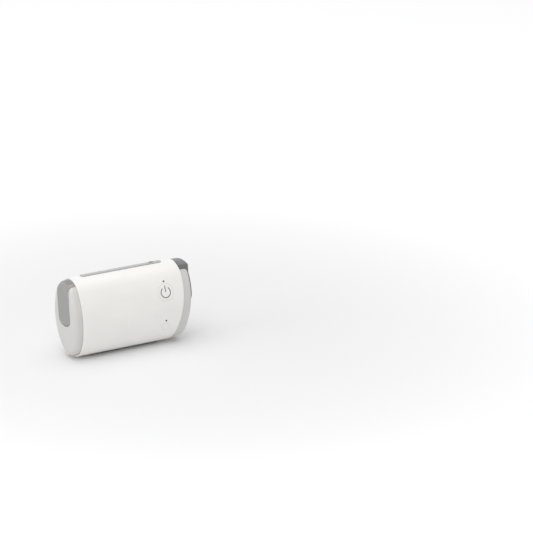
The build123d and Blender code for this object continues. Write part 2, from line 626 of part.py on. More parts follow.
def button(x, height, radius, stem_radius):
    """Cap flush with the curved front, a flange behind the wall and a stem inside."""
    front = -FAR / 2
    hidden = SLEEVE_WALL + FLANGE_GAP
    cap = rod_y(x, height, radius, front, 0) & layer(0, hidden + FLANGE_WALL)
    flange = rod_y(x, height, radius + BUTTON_FLANGE, front, 0)
    flange = flange & layer(hidden, hidden + FLANGE_WALL)
    stem = rod_y(x, height, stem_radius, front, STEM_END) & layer(BUTTON_WALL, FAR / 5)
    return cap + flange + stem


def start_button():
    return button(BUTTON_X, START_HEIGHT, START_RADIUS, 2 * PLUNGER_RADIUS)


def wireless_button():
    return button(WIRELESS_X, WIRELESS_HEIGHT, WIRELESS_RADIUS, PLUNGER_RADIUS)


def start_plunger():
    return rod_y(BUTTON_X, START_HEIGHT, PLUNGER_RADIUS, STEM_END, STEM_END + PLUNGER_LENGTH)


def wireless_plunger():
    return rod_y(WIRELESS_X, WIRELESS_HEIGHT, PLUNGER_RADIUS, STEM_END, STEM_END + PLUNGER_LENGTH)


def tact_switches():
    half = SWITCH_SIDE / 2
    cases = []
    for x, height in ((BUTTON_X, START_HEIGHT), (WIRELESS_X, WIRELESS_HEIGHT)):
        low, high = height - half, height + half
        case = brick(x - half, x + half, SWITCH_FACE, BOARD_FRONT, low, high)
        bottom = SWITCH_FACE + 2 * BUTTON_TRAVEL
        well = rod_y(x, height, PLUNGER_RADIUS + BUTTON_GAP, SWITCH_FACE - 1, bottom)
        cases.append(case - well)
    return Compound(cases)


def light_guide(x, height):
    """Thin light guide through the sleeve on a wider foot that rests on the board."""
    guide = rod_y(x, height, LIGHT_RADIUS - FLANGE_GAP, -FAR / 2, BOARD_FRONT)
    guide = guide & layer(0, FAR / 5)
    foot_start = LIGHT_NECK - front_to_back(abs(height) + LIGHT_BASE, SLEEVE_WALL)
    return guide + rod_y(x, height, LIGHT_BASE, foot_start, BOARD_FRONT)


def start_light():
    return light_guide(BUTTON_X, START_LIGHT_HEIGHT)


def wireless_light():
    return light_guide(WIRELESS_X, WIRELESS_LIGHT_HEIGHT)


# ---------------------------------------------------------------- strips
def leaned(solid):
    return Pos(0, 0, SECTION_CENTRE) * Rot(-LEAN, 0, 0) * solid


def foot_strip():
    """Flat on the floor below and curved to the leaning sleeve above."""
    pad = extrude(strip_outline(FOOT_START, FOOT_END, FOOT_WIDTH), FOOT_PROUD + END_RADIUS / 3)
    pad = chamfer(pad.edges().sort_by(Axis.Z)[:4], FOOT_EDGE)
    return pad - leaned(bar(0, INLET_FACE, OUTLET_FACE))


def top_strip():
    width = STRIP_WIDTH - 2 * FIT_GAP
    run = extrude(strip_outline(STRIP_START + FIT_GAP, STRIP_END - FIT_GAP, width), FAR)
    band = run & bar(-STRIP_PROUD, INLET_FACE, OUTLET_FACE)
    band = band - bar(STRIP_DEPTH - BED_GAP, INLET_FACE, OUTLET_FACE)
    seat = SlotOverall(PLUG_LENGTH + SPLIT_GAP, PLUG_WIDTH + SPLIT_GAP)
    return band - extrude(Pos(PLUG_X, 0) * seat, FAR)


def strip_plug():
    top = HALF_HEIGHT + STRIP_PROUD + PLUG_PROUD
    stub = extrude(Pos(PLUG_X, 0) * SlotOverall(PLUG_LENGTH, PLUG_WIDTH), top)
    stub = fillet(stub.edges().group_by(Axis.Z)[-1], PLUG_PROUD / 2)
    return stub - bar(STRIP_DEPTH - BED_GAP, INLET_FACE, OUTLET_FACE)


# ---------------------------------------------------------------- blower
def scroll_face(margin):
    """Spiral of four quarter arcs, clockwise from the top, each a step wider than the last."""
    half = SCROLL_STEP / 2
    corners = [(half, -half), (-half, -half), (-half, half), (half, half)]
    edges = []
    for quarter, (cx, cz) in enumerate(corners):
        radius = SCROLL_RADIUS + half + quarter * SCROLL_STEP + margin
        points = []
        for eighth in range(3):
            angle = math.radians(90 - 90 * quarter - 45 * eighth)
            x = BLOWER_X + cx + radius * math.cos(angle)
            points.append((x, BLOWER_HEIGHT + cz + radius * math.sin(angle)))
        edges.append(ThreePointArc(*points))
    edges.append(Line(edges[-1] @ 1, edges[0] @ 0))
    return make_face(edges)


def scroll_prism(margin, front, back):
    """The scroll and its outlet run from front to back."""
    spiral = extrude(Plane.XZ.offset(-back) * scroll_face(margin), back - front)
    low = SCROLL_TOP - SCROLL_MOUTH - margin
    outlet = brick(BLOWER_X, BLOWER_X + SCROLL_OUT, front, back, low, SCROLL_TOP + margin)
    return spiral + outlet


def mount_point(direction):
    """Middle of a rubber mount: on the scroll's outer wall, which grows with the clockwise turn."""
    quarters = (90 - direction) % 360 / 90
    reach = SCROLL_RADIUS + quarters * SCROLL_STEP + BLOWER_WALL + EAR_OVERHANG
    x = BLOWER_X + reach * math.cos(math.radians(direction))
    z = BLOWER_HEIGHT + reach * math.sin(math.radians(direction))
    return x, z


def blower_base():
    """Back half of the scroll with the motor cup on its outside."""
    base = scroll_prism(BLOWER_WALL, LID_BACK, BLOWER_BACK)
    base = base - scroll_prism(0, LID_BACK - 1, FLOOR_FRONT)
    end = BLOWER_X + SCROLL_OUT
    low = SCROLL_TOP - SCROLL_MOUTH
    base = base - brick(end - 1, end + 1, LID_BACK - 1, FLOOR_FRONT, low, SCROLL_TOP)
    cup = rod_y(BLOWER_X, BLOWER_HEIGHT, STATOR_RADIUS + MOTOR_WALL, BLOWER_BACK, MOTOR_BACK)
    base = base + cup
    for direction in EAR_DIRECTIONS:
        x, z = mount_point(direction)
        base = base + rod_y(x, z, ISOLATOR_RADIUS, FLOOR_FRONT, BLOWER_BACK)
    well = rod_y(BLOWER_X, BLOWER_HEIGHT, STATOR_RADIUS, BLOWER_BACK, MOTOR_BACK - MOTOR_WALL)
    base = base - well
    for front, back in ((FLOOR_FRONT - 1, BLOWER_BACK + 1), (MOTOR_BACK - MOTOR_WALL - 1, MOTOR_BACK + 1)):
        base = base - rod_y(BLOWER_X, BLOWER_HEIGHT, BEARING_RADIUS, front, back)
    return base


def blower_lid():
    """Front plate of the scroll with the inlet eye and its rolled lip."""
    lid = scroll_prism(BLOWER_WALL, BLOWER_FRONT, LID_BACK)
    rim = BLOWER_FRONT - LIP_HEIGHT
    lid = lid + rod_y(BLOWER_X, BLOWER_HEIGHT, EYE_RADIUS + BLOWER_WALL, rim, BLOWER_FRONT)
    lid = lid - rod_y(BLOWER_X, BLOWER_HEIGHT, EYE_RADIUS, rim - 1, LID_BACK + 1)
    mouth = lid.edges().filter_by(GeomType.CIRCLE).group_by(Axis.Y)[0]
    return fillet(mouth, BLOWER_WALL / 3)


def blade():
    """One backward-curved blade, drawn from hub to tip about the blower's axis."""
    sweep = math.radians(BLADE_SWEEP)
    middle = (HUB_RADIUS + IMPELLER_RADIUS) / 2
    turn = sweep * BLADE_BEND
    root = (HUB_RADIUS - BLADE_THICKNESS / 2, 0)
    halfway = (middle * math.cos(turn), middle * math.sin(turn))
    tip = (IMPELLER_RADIUS * math.cos(sweep), IMPELLER_RADIUS * math.sin(sweep))
    return trace(ThreePointArc(root, halfway, tip), BLADE_THICKNESS)


def impeller():
    """Back disc, hub and curved blades, bored for the shaft."""
    pitch = 360 / BLADE_COUNT
    blades = Sketch() + [Rot(0, 0, index * pitch) * blade() for index in range(BLADE_COUNT)]
    blades = blades & Circle(IMPELLER_RADIUS)
    root = DISC_BACK - IMPELLER_DISC / 2
    wheel = extrude(Plane.XZ.offset(-root) * blades, root - BLADE_FRONT)
    wheel = Pos(BLOWER_X, 0, BLOWER_HEIGHT) * wheel
    wheel = wheel + rod_y(BLOWER_X, BLOWER_HEIGHT, IMPELLER_RADIUS, DISC_BACK - IMPELLER_DISC, DISC_BACK)
    wheel = wheel + rod_y(BLOWER_X, BLOWER_HEIGHT, HUB_RADIUS, BLADE_FRONT, DISC_BACK)
    bore = SHAFT_RADIUS + SHAFT_FIT
    return wheel - rod_y(BLOWER_X, BLOWER_HEIGHT, bore, BLADE_FRONT - 1, DISC_BACK + 1)


def rotor_shaft():
    return rod_y(BLOWER_X, BLOWER_HEIGHT, SHAFT_RADIUS, BLADE_FRONT, MOTOR_BACK - SHAFT_SHORT)


def rotor_magnet():
    start = STATOR_FRONT + MAGNET_SHORT
    end = STATOR_FRONT + STATOR_LENGTH - MAGNET_SHORT
    ring = rod_y(BLOWER_X, BLOWER_HEIGHT, MAGNET_RADIUS, start, end)
    return ring - rod_y(BLOWER_X, BLOWER_HEIGHT, SHAFT_RADIUS + SHAFT_FIT, start - 1, end + 1)


def motor_bearings():
    rings = []
    for start, end in ((FLOOR_FRONT, BLOWER_BACK), (MOTOR_BACK - MOTOR_WALL, MOTOR_BACK)):
        ring = rod_y(BLOWER_X, BLOWER_HEIGHT, BEARING_RADIUS - BED_GAP, start, end)
        bore = rod_y(BLOWER_X, BLOWER_HEIGHT, SHAFT_RADIUS + RUNNING_GAP, start - 1, end + 1)
        rings.append(ring - bore)
    return Compound(rings)


STATOR_OUTER = STATOR_RADIUS - STATOR_FIT
STATOR_BORE = MAGNET_RADIUS + MAGNET_GAP
STEEL_LENGTH = STATOR_LENGTH - 2 * COIL_OVERHANG


def round_the_stator(arm):
    """Copies of a piece drawn on the first tooth, one for each tooth."""
    centre = Pos(BLOWER_X, STATOR_FRONT + STATOR_LENGTH / 2, BLOWER_HEIGHT) * Rot(90, 0, 0)
    return [centre * Rot(0, 0, index * 360 / TOOTH_COUNT) * arm for index in range(TOOTH_COUNT)]


def motor_stator():
    """Lamination ring with teeth that face the magnet."""
    start = STATOR_FRONT + COIL_OVERHANG
    end = start + STEEL_LENGTH
    ring = rod_y(BLOWER_X, BLOWER_HEIGHT, STATOR_OUTER, start, end)
    ring = ring - rod_y(BLOWER_X, BLOWER_HEIGHT, STATOR_OUTER - STATOR_RING, start - 1, end + 1)
    reach = STATOR_OUTER - STATOR_RING / 2
    tooth = Pos((STATOR_BORE + reach) / 2, 0, 0) * Box(reach - STATOR_BORE, TOOTH_WIDTH, STEEL_LENGTH)
    for arm in round_the_stator(tooth):
        ring = ring + arm
    return ring - rod_y(BLOWER_X, BLOWER_HEIGHT, STATOR_BORE, start - 1, end + 1)


def motor_windings():
    """One coil round each tooth, inside the lamination ring."""
    near, reach = STATOR_BORE + STATOR_RING / 2, STATOR_OUTER - STATOR_RING
    coil = Pos((near + reach) / 2, 0, 0) * Box(reach - near, COIL_WIDTH, STATOR_LENGTH)
    coil = coil & Cylinder(reach - STATOR_FIT, STATOR_LENGTH)
    coil = coil - Pos(reach / 2, 0, 0) * Box(reach + 1, TOOTH_WIDTH, STEEL_LENGTH)
    return Compound(round_the_stator(coil))


def blower_isolators():
    pads = []
    for direction in EAR_DIRECTIONS:
        x, z = mount_point(direction)
        pads.append(rod_y(x, z, ISOLATOR_RADIUS, BLOWER_BACK, BLOWER_BACK + ISOLATOR_HEIGHT))
    return Compound(pads)


# ---------------------------------------------------------------- electronics
def board_holes():
    """Two screws at the blower end of the board and one between the buttons."""
    edge = BOARD_TOP - BOARD_MARGIN
    near = BOARD_START + BOARD_MARGIN
    return [(near, -edge), (near, edge), (BOARD_END - BOARD_MARGIN, START_HEIGHT - MID_SCREW_DROP)]


def main_board():
    board = brick(BOARD_START, BOARD_END, BOARD_FRONT, BOARD_BACK, -BOARD_TOP, BOARD_TOP)
    board = fillet(board.edges().filter_by(Axis.Y), BOARD_ROUND)
    hole = SCREW_RADIUS + BOARD_HOLE_CLEARANCE
    for x, z in board_holes():
        board = board - rod_y(x, z, hole, BOARD_FRONT - 1, BOARD_BACK + 1)
    return board


def board_parts():
    """Controller, memory, drivers and capacitors on the board's inner side."""
    parts = []
    for across, up, width, height, thickness in BLOCK_PARTS:
        x0, z0 = BOARD_X + across - width / 2, up - height / 2
        parts.append(brick(x0, x0 + width, BOARD_BACK, BOARD_BACK + thickness, z0, z0 + height))
    for index in range(CAPACITOR_COUNT):
        x = BOARD_X + (index - (CAPACITOR_COUNT - 1) / 2) * CAPACITOR_PITCH
        top = BOARD_BACK + CAPACITOR_HEIGHT
        parts.append(rod_y(x, -CAPACITOR_DROP, CAPACITOR_RADIUS, BOARD_BACK, top))
    return Compound(parts)


def pressure_sensor():
    half = SENSOR_SIDE / 2
    face = BOARD_BACK + half
    low, high = SENSOR_RISE - half, SENSOR_RISE + half
    body = brick(SENSOR_X - half, SENSOR_X + half, BOARD_BACK, face, low, high)
    return body + rod_y(SENSOR_X, SENSOR_RISE, NIPPLE_RADIUS, face, face + half)


def sensing_tube():
    """Soft tube from the sensor's nipple round to the underside of the outlet duct."""
    y0 = BOARD_BACK + SENSOR_SIDE / 2 + CUFF_CLEARANCE
    bend = TUBE_BEND
    y1 = SCROLL_MIDDLE / 2
    root = math.sqrt(0.5)
    turn = (y1 - bend + bend * root, SENSOR_RISE + bend - bend * root)
    spine = Wire([
        Edge.make_line((SENSOR_X, y0, SENSOR_RISE), (SENSOR_X, y1 - bend, SENSOR_RISE)),
        Edge.make_three_point_arc(
            (SENSOR_X, y1 - bend, SENSOR_RISE), (SENSOR_X, *turn), (SENSOR_X, y1, SENSOR_RISE + bend)),
        Edge.make_line((SENSOR_X, y1, SENSOR_RISE + bend), (SENSOR_X, y1, MOUTH_HEIGHT)),
    ])
    end = Plane(origin=(SENSOR_X, y0, SENSOR_RISE), x_dir=(1, 0, 0), z_dir=(0, 1, 0))
    bore = NIPPLE_RADIUS + CUFF_CLEARANCE
    tube = sweep(end * (Circle(bore + TUBE_WALL) - Circle(bore)), path=spine)
    return tube - duct_loft(DUCT_WALL + CUFF_CLEARANCE)


def board_screws():
    parts = []
    for x, z in board_holes():
        head = rod_y(x, z, SCREW_HEAD, BOARD_BACK, BOARD_BACK + SCREW_HEAD_HEIGHT)
        shank = rod_y(x, z, SCREW_RADIUS, BOARD_FRONT - BOARD_SCREW_REACH, BOARD_BACK)
        parts.append(head + shank)
    return Compound(parts)


def chassis_shell(front, back):
    inner = INNER + CHASSIS_WALL
    shell = bar(INNER, CHASSIS_START, CHASSIS_END) - bar(inner, CHASSIS_START - 1, CHASSIS_END + 1)
    shell = shell & bowed_end(CHASSIS_END, OUTLET_RIM_RADIUS, OUTLET_APEX, 1)
    half = brick(-FAR, FAR, front, back, -FAR, FAR)
    for x, z in CHASSIS_SCREWS:
        boss = rod_y(x, z, POST_RADIUS, -FAR / 2, FAR / 2) & bar(INNER, INLET_FACE, OUTLET_FACE)
        shell = shell + boss
    return shell & half


def chassis_front():
    half = chassis_shell(-FAR, -SPLIT_GAP / 2)
    for x, z in board_holes():
        post = rod_y(x, z, POST_RADIUS, -FAR / 2, BOARD_FRONT) & bar(INNER, INLET_FACE, OUTLET_FACE)
        half = half + post
        half = half - rod_y(x, z, SCREW_RADIUS, BOARD_FRONT - BOARD_SCREW_REACH, BOARD_FRONT + 1)
    room = BUTTON_FLANGE + FLANGE_ROOM
    half = half - rod_y(BUTTON_X, START_HEIGHT, START_RADIUS + room, -FAR / 2, BOARD_FRONT)
    half = half - rod_y(WIRELESS_X, WIRELESS_HEIGHT, WIRELESS_RADIUS + room, -FAR / 2, BOARD_FRONT)
    for x, height in LIGHTS:
        half = half - rod_y(x, height, LIGHT_BASE + FIT_GAP, -FAR / 2, BOARD_FRONT)
    for x, z in CHASSIS_SCREWS:
        half = half - rod_y(x, z, SCREW_RADIUS, -CHASSIS_SCREW_REACH, 1)
    return half


def chassis_back():
    half = chassis_shell(SPLIT_GAP / 2, FAR)
    for direction in EAR_DIRECTIONS:
        x, z = mount_point(direction)
        post = rod_y(x, z, POST_RADIUS, BLOWER_BACK + ISOLATOR_HEIGHT, FAR / 2)
        half = half + (post & bar(INNER, INLET_FACE, OUTLET_FACE))
    for x, z in CHASSIS_SCREWS:
        seat = CHASSIS_SCREW_REACH - SCREW_HEAD_HEIGHT
        half = half - rod_y(x, z, SCREW_RADIUS + SCREW_CLEARANCE, -1, FAR / 2)
        half = half - rod_y(x, z, SCREW_HEAD + SCREW_CLEARANCE, seat, FAR / 2)
    return half


def chassis_screws():
    parts = []
    for x, z in CHASSIS_SCREWS:
        start = CHASSIS_SCREW_REACH - SCREW_HEAD_HEIGHT
        head = rod_y(x, z, SCREW_HEAD, start, start + SCREW_HEAD_HEIGHT)
        parts.append(head + rod_y(x, z, SCREW_RADIUS, -CHASSIS_SCREW_REACH, start))
    return Compound(parts)


PARTS = {
    "outer_sleeve": outer_sleeve,
    "inlet_end_cap": inlet_end_cap,
    "filter_cover": filter_cover,
    "air_filter": air_filter,
    "inlet_foam": inlet_foam,
    "outlet_end_cap": outlet_end_cap,
    "outlet_panel": outlet_panel,
    "outlet_port": outlet_port,
    "outlet_seal": outlet_seal,
    "outlet_duct": outlet_duct,
    "power_jack": power_jack,
    "jack_pin": jack_pin,
    "start_button": start_button,
    "start_plunger": start_plunger,
    "wireless_button": wireless_button,
    "wireless_plunger": wireless_plunger,
    "tact_switches": tact_switches,
    "start_light": start_light,
    "wireless_light": wireless_light,
    "top_strip": top_strip,
    "strip_plug": strip_plug,
    "blower_base": blower_base,
    "blower_lid": blower_lid,
    "impeller": impeller,
    "rotor_shaft": rotor_shaft,
    "rotor_magnet": rotor_magnet,
    "motor_stator": motor_stator,
    "motor_windings": motor_windings,
    "motor_bearings": motor_bearings,
    "blower_isolators": blower_isolators,
    "main_board": main_board,
    "board_parts": board_parts,
    "pressure_sensor": pressure_sensor,
    "sensing_tube": sensing_tube,
    "board_screws": board_screws,
    "chassis_front": chassis_front,
    "chassis_back": chassis_back,
    "chassis_screws": chassis_screws,
}

os.makedirs("parts", exist_ok=True)
for name, make in PARTS.items():
    export_step(leaned(make()), f"parts/{name}.step")
export_step(foot_strip(), "parts/foot_strip.step")
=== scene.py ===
# %% [markdown]
# # Dressing a travel CPAP machine
#
# The shape is finished in CAD. Blender adds what CAD leaves out: the surface of every
# material, the print, the threads, windings and small parts, the loose skin of fleece
# and foam, and a plain studio to look at them in. One block is also shown wider than
# the CAD has it. Everything is in metres, in the CAD's frame.

# %% Load the frame
import bmesh
import bpy
import json
import math
import random
from functools import partial
from mathutils import Matrix, Vector, noise
from mathutils.bvhtree import BVHTree


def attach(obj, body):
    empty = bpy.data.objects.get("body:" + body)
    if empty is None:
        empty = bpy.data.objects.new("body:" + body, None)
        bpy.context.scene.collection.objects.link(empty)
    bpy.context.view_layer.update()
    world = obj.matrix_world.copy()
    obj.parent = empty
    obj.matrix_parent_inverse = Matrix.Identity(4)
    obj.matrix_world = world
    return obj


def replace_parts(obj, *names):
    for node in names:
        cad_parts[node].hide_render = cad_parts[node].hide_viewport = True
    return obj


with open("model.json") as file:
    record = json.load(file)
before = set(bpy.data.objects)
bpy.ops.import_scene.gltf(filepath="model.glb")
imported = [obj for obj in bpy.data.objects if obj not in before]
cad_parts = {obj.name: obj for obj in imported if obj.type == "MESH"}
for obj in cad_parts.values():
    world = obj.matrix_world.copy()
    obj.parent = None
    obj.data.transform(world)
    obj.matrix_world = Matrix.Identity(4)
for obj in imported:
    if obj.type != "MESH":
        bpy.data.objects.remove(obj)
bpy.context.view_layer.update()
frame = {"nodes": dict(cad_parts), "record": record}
nodes = frame["nodes"]
MM = 0.001

# %% [markdown]
# ## The leaning frame
#
# The machine leans back 6 degrees on its foot, but its pieces are easiest to think of
# upright. One matrix holds the lean and the height of the section's middle. Points are
# worked out upright, in millimetres, and pass through it once. Turning the finished
# objects instead would work too, but then their place would not be in their mesh.

# %% Upright millimetres to the scene
LEAN = math.radians(6)
SECTION_CENTRE = 42.2937
UPRIGHT = Matrix.Translation((0, 0, SECTION_CENTRE * MM)) @ Matrix.Rotation(-LEAN, 4, "X")
TO_BACK = -math.pi / 2 - LEAN  # turns a shape's own +Z to the machine's back


def placed(x, y, z):
    """A point in upright millimetres, as a point of the scene."""
    return UPRIGHT @ (Vector((x, y, z)) * MM)


def upright(point):
    """The other way round."""
    return UPRIGHT.inverted() @ point / MM


print("middle of the section:", placed(0, 0, 0))

# %% [markdown]
# ## The camera
#
# Product pictures of small things are taken from far off through a long lens, which
# keeps the edges nearly parallel. This one stands over three metres away to the left
# and looks 19 degrees down. The same view could be had close by with a short lens, but
# the near end would then look too large.

# %% Camera
CAMERA_PLACE = Vector((-1.4487, -2.7614, 1.1663))
LOOKS_ALONG = Vector((0.47695, 0.81555, -0.32771))
LENS, SENSOR = 221.4, 36  # in millimetres


def in_scene(name, data):
    """A new object that is linked to the scene."""
    made = bpy.data.objects.new(name, data)
    bpy.context.collection.objects.link(made)
    return made


camera = bpy.data.cameras.new("camera")
camera.lens = LENS
camera.sensor_width = SENSOR
camera.clip_end = 100
camera_object = in_scene("camera", camera)
camera_object.location = CAMERA_PLACE
camera_object.rotation_euler = LOOKS_ALONG.to_track_quat("-Z", "Y").to_euler()
bpy.context.scene.camera = camera_object
bpy.context.scene.view_settings.view_transform = "Standard"
print("camera looks down by", round(math.degrees(math.asin(-LOOKS_ALONG.z)), 2), "degrees")

# %% [markdown]
# ## Nodes with one small function
#
# Shader trees and Geometry Nodes trees are built the same way: a node has a kind, some
# settings, and inputs that are either a value or a link from another node's output.
# One function does all of it, so a tree reads like a list of its steps.

# %% Helpers for colours and nodes
def linear(code, factor=1.0):
    """An sRGB hex colour as linear light, made lighter or darker by a factor."""
    parts = [int(code[start:start + 2], 16) / 255 for start in (0, 2, 4)]
    parts = [part / 12.92 if part <= 0.04045 else ((part + 0.055) / 1.055) ** 2.4 for part in parts]
    return tuple(min(part * factor, 1.0) for part in parts) + (1.0,)


def add(tree, kind, links=None, **settings):
    """A node with its settings, and its inputs as values or as links from other sockets."""
    made = tree.nodes.new(kind)
    for key, value in settings.items():
        setattr(made, key, value)
    for socket, source in (links or {}).items():
        if isinstance(source, bpy.types.NodeSocket):
            tree.links.new(source, made.inputs[socket])
        else:
            made.inputs[socket].default_value = source
    return made


def calculate(tree, operation, *values):
    """One step of arithmetic."""
    return add(tree, "ShaderNodeMath", dict(enumerate(values)), operation=operation).outputs[0]


print("mid grey 808080 is", round(linear("808080")[0], 4), "in linear light")

# %% [markdown]
# ## A finish
#
# Each material below starts with the same three things: a shader, its constant values
# on the shader's own sockets, and the place of the point being shaded. The place comes
# from Object coordinates, turned upright, so that bands run along the machine's own
# axes. Patterns are sized in millimetres from there. A socket knows the tree that it
# belongs to as its id_data, so the helpers for patterns take no tree.

# %% Start of every finish
finishes = {}


def finish(name, **constants):
    """A new material: its shader and the upright place of the point."""
    material = bpy.data.materials.new(name)
    material.use_nodes = True
    tree = material.node_tree
    shader = tree.nodes["Principled BSDF"]
    for socket, value in constants.items():
        shader.inputs[socket.replace("_", " ")].default_value = value
    place = add(tree, "ShaderNodeTexCoord").outputs["Object"]
    turned = add(tree, "ShaderNodeMapping", {"Vector": place, "Rotation": (LEAN, 0, 0)})
    finishes[name] = material
    return shader, turned.outputs["Vector"]


def feed(shader, **sources):
    """Links outputs to the shader's sockets of the same names."""
    for socket, source in sources.items():
        shader.id_data.links.new(source, shader.inputs[socket.replace("_", " ")])


print("a finish starts with a shader, its values and a place")

# %% Patterns, shades and bumps
def scale_for(size):
    """The texture scale at which a cell is size millimetres wide."""
    return 1 / (size * MM)


def stretched(place, x=1.0, y=1.0, z=1.0):
    """The place squeezed along some axes, so that a pattern gets long along the others."""
    return add(place.id_data, "ShaderNodeMapping", {"Vector": place, "Scale": (x, y, z)}).outputs["Vector"]


def blotches(place, size, detail=2.0, rough=0.5):
    """Soft noise whose spots are about size millimetres across."""
    return add(place.id_data, "ShaderNodeTexNoise", {
        "Vector": place, "Scale": scale_for(size), "Detail": detail, "Roughness": rough,
    }).outputs["Fac"]


def spread(value, low, high, start=0.3, end=0.7):
    """Maps noise, which mostly lies between 0.3 and 0.7, onto a range."""
    return add(value.id_data, "ShaderNodeMapRange", {
        "Value": value, "From Min": start, "From Max": end, "To Min": low, "To Max": high,
    }).outputs["Result"]


def tint(factor, first, second):
    """A colour between two others."""
    mixed = add(factor.id_data, "ShaderNodeMix", {0: factor, 6: first, 7: second}, data_type="RGBA")
    return mixed.outputs[2]


def shades(value, colour, dark, light, start=0.3, end=0.7):
    """A darker and a lighter shade of one colour, mixed by noise."""
    return tint(spread(value, 0, 1, start, end), linear(colour, dark), linear(colour, light))


def relief(shader, height, depth, under=None):
    """Bumps of depth millimetres, over an earlier bump if there is one."""
    sockets = {"Height": height, "Distance": depth * MM, "Strength": 1.0}
    if under:
        sockets["Normal"] = under
    bump = add(shader.id_data, "ShaderNodeBump", sockets).outputs["Normal"]
    feed(shader, Normal=bump)
    return bump


print("helpers ready")

# %% [markdown]
# ## Moulded housing plastic
#
# The sleeve, end caps, cover and panel are injection-moulded PC-ABS. The steel mould is
# spark-eroded, which leaves an even satin grain of about a twentieth of a millimetre.
# That is finer than a pixel, so it is drawn at a third of a millimetre, where it still
# softens the highlight as the real one does. Slow changes of tone and gloss follow the
# melt as it filled the mould. Painted plastic would need a clear coat; this has none.

# %% PC-ABS with a satin grain
def moulded(name, colour, roughness, grain=0.32, depth=0.004, tone=0.02):
    shader, place = finish(name, IOR=1.53)
    flow = blotches(stretched(place, x=0.5), size=22, detail=3)
    handled = blotches(place, size=7, detail=3, rough=0.6)
    feed(shader, Base_Color=shades(flow, colour, 1 - tone, 1 + tone),
         Roughness=spread(handled, roughness - 0.03, roughness + 0.04))
    skin = relief(shader, blotches(place, size=14), 0.02)
    relief(shader, blotches(place, grain, detail=1), depth, under=skin)


moulded("sleeve_white", "f0efec", 0.40)
moulded("button_white", "f0efec", 0.38, grain=0.26, depth=0.003)
moulded("cap_grey", "d0cfcc", 0.34)
moulded("cover_grey", "969694", 0.38)
moulded("panel_grey", "6e6e6e", 0.32)
moulded("port_grey", "68696a", 0.36)
moulded("impeller_ivory", "dbd6c6", 0.30, grain=0.2, tone=0.03)
moulded("jack_black", "1b1b1d", 0.35, grain=0.2)
moulded("plunger_black", "1f1f21", 0.42, grain=0.2)
moulded("switch_black", "242426", 0.40, grain=0.2)
print("moulded plastics:", len(finishes))

# %% [markdown]
# ## Glass-filled nylon
#
# The blower and the chassis halves are nylon with a third of chopped glass. Short fibres
# show at the surface as fine, dry, lighter dashes that lie along the flow. A noise
# stretched eight times along X gives them; a second noise breaks the dashes up.

# %% Nylon with glass fibres
def glass_filled(name, colour, roughness):
    shader, place = finish(name, IOR=1.52)
    dashes = blotches(stretched(place, x=0.12), size=0.35, detail=2, rough=0.7)
    patches = blotches(place, size=9, detail=4, rough=0.6)
    both = calculate(shader.id_data, "MULTIPLY", dashes, patches)
    feed(shader, Base_Color=shades(both, colour, 0.85, 1.35, start=0.2, end=0.42),
         Roughness=spread(both, roughness - 0.06, roughness + 0.1, 0.2, 0.4))
    relief(shader, dashes, 0.008)


glass_filled("blower_black", "2e2e31", 0.55)
glass_filled("chassis_grey", "66696e", 0.52)
print("glass-filled pieces: blower and chassis")

# %% [markdown]
# ## Silicone and elastomer
#
# The foot, strip and plug are a soft thermoplastic elastomer; the duct, seal, mounts and
# sensing tube are silicone. Both look matt, with a faint dusty sheen at grazing angles.
# Milky silicone also lets a little light in, which a small subsurface weight gives.

# %% Rubbery finishes
def rubbery(name, colour, roughness, milky=0.0):
    shader, place = finish(
        name, IOR=1.42, Sheen_Weight=0.12, Sheen_Roughness=0.5,
        Subsurface_Weight=milky, Subsurface_Scale=0.6 * MM)
    dust = blotches(place, size=5, detail=5, rough=0.65)
    feed(shader, Base_Color=shades(dust, colour, 0.94, 1.06),
         Roughness=spread(dust, roughness - 0.05, roughness + 0.06))
    relief(shader, blotches(place, size=0.22, detail=2), 0.006)


rubbery("strip_grey", "b9b8b6", 0.55)
rubbery("plug_grey", "878786", 0.55)
rubbery("foot_rubber", "868686", 0.68)
rubbery("seal_silicone", "bfc4cb", 0.50, milky=0.3)
rubbery("duct_silicone", "ccd0d5", 0.48, milky=0.35)
rubbery("isolator_silicone", "4c5058", 0.55)
rubbery("tube_silicone", "d8dadb", 0.40, milky=0.4)
print("rubbery finishes made")

# %% [markdown]
# ## Light guides
#
# Two thin rods of polycarbonate bring the light of the lamps on the board to the
# front. Unlit, each end is a glossy dark dot. A clear rod would show the dark inside,
# but only with transmission that costs many samples, so that shade is painted as colour.

# %% Polycarbonate, dark with painted shade
shader, place = finish("light_guide", IOR=1.585, Coat_Weight=0.2, Coat_Roughness=0.05)
# The near-black colours below are painted shade: the dark inside of a clear rod.
veil = blotches(place, size=0.8, detail=3)
feed(shader, Base_Color=tint(spread(veil, 0, 1), linear("141516"), linear("1e1f21")),
     Roughness=spread(veil, 0.10, 0.18))
print("light guide made")

# %% [markdown]
# ## Metals
#
# Turned and ground parts carry marks that run around their axis, so the noise is
# stretched across it. Zinc-plated screws are mottled by the plating bath, sintered
# bronze is full of pores, and the stator is a stack of steel sheets 0.35 mm thick whose
# edges show as fine bands. Every metal keeps the usual IOR; its colour is its metal's.

# %% Steel, nickel, bronze and magnet
def turned(name, colour, roughness, pitch, depth):
    shader, place = finish(name, Metallic=1.0)
    rings = blotches(stretched(place, x=0.1, z=0.1), pitch, detail=3, rough=0.7)
    feed(shader, Base_Color=shades(rings, colour, 0.86, 1.08),
         Roughness=spread(rings, roughness, roughness + 0.12))
    relief(shader, rings, depth)


def mottled(name, colour, roughness, size, depth, metallic=1.0, contrast=0.12):
    shader, place = finish(name, Metallic=metallic)
    spots = blotches(place, size, detail=4, rough=0.6)
    feed(shader, Base_Color=shades(spots, colour, 1 - contrast, 1 + contrast),
         Roughness=spread(spots, roughness - 0.06, roughness + 0.1))
    relief(shader, blotches(place, size / 3, detail=2), depth)


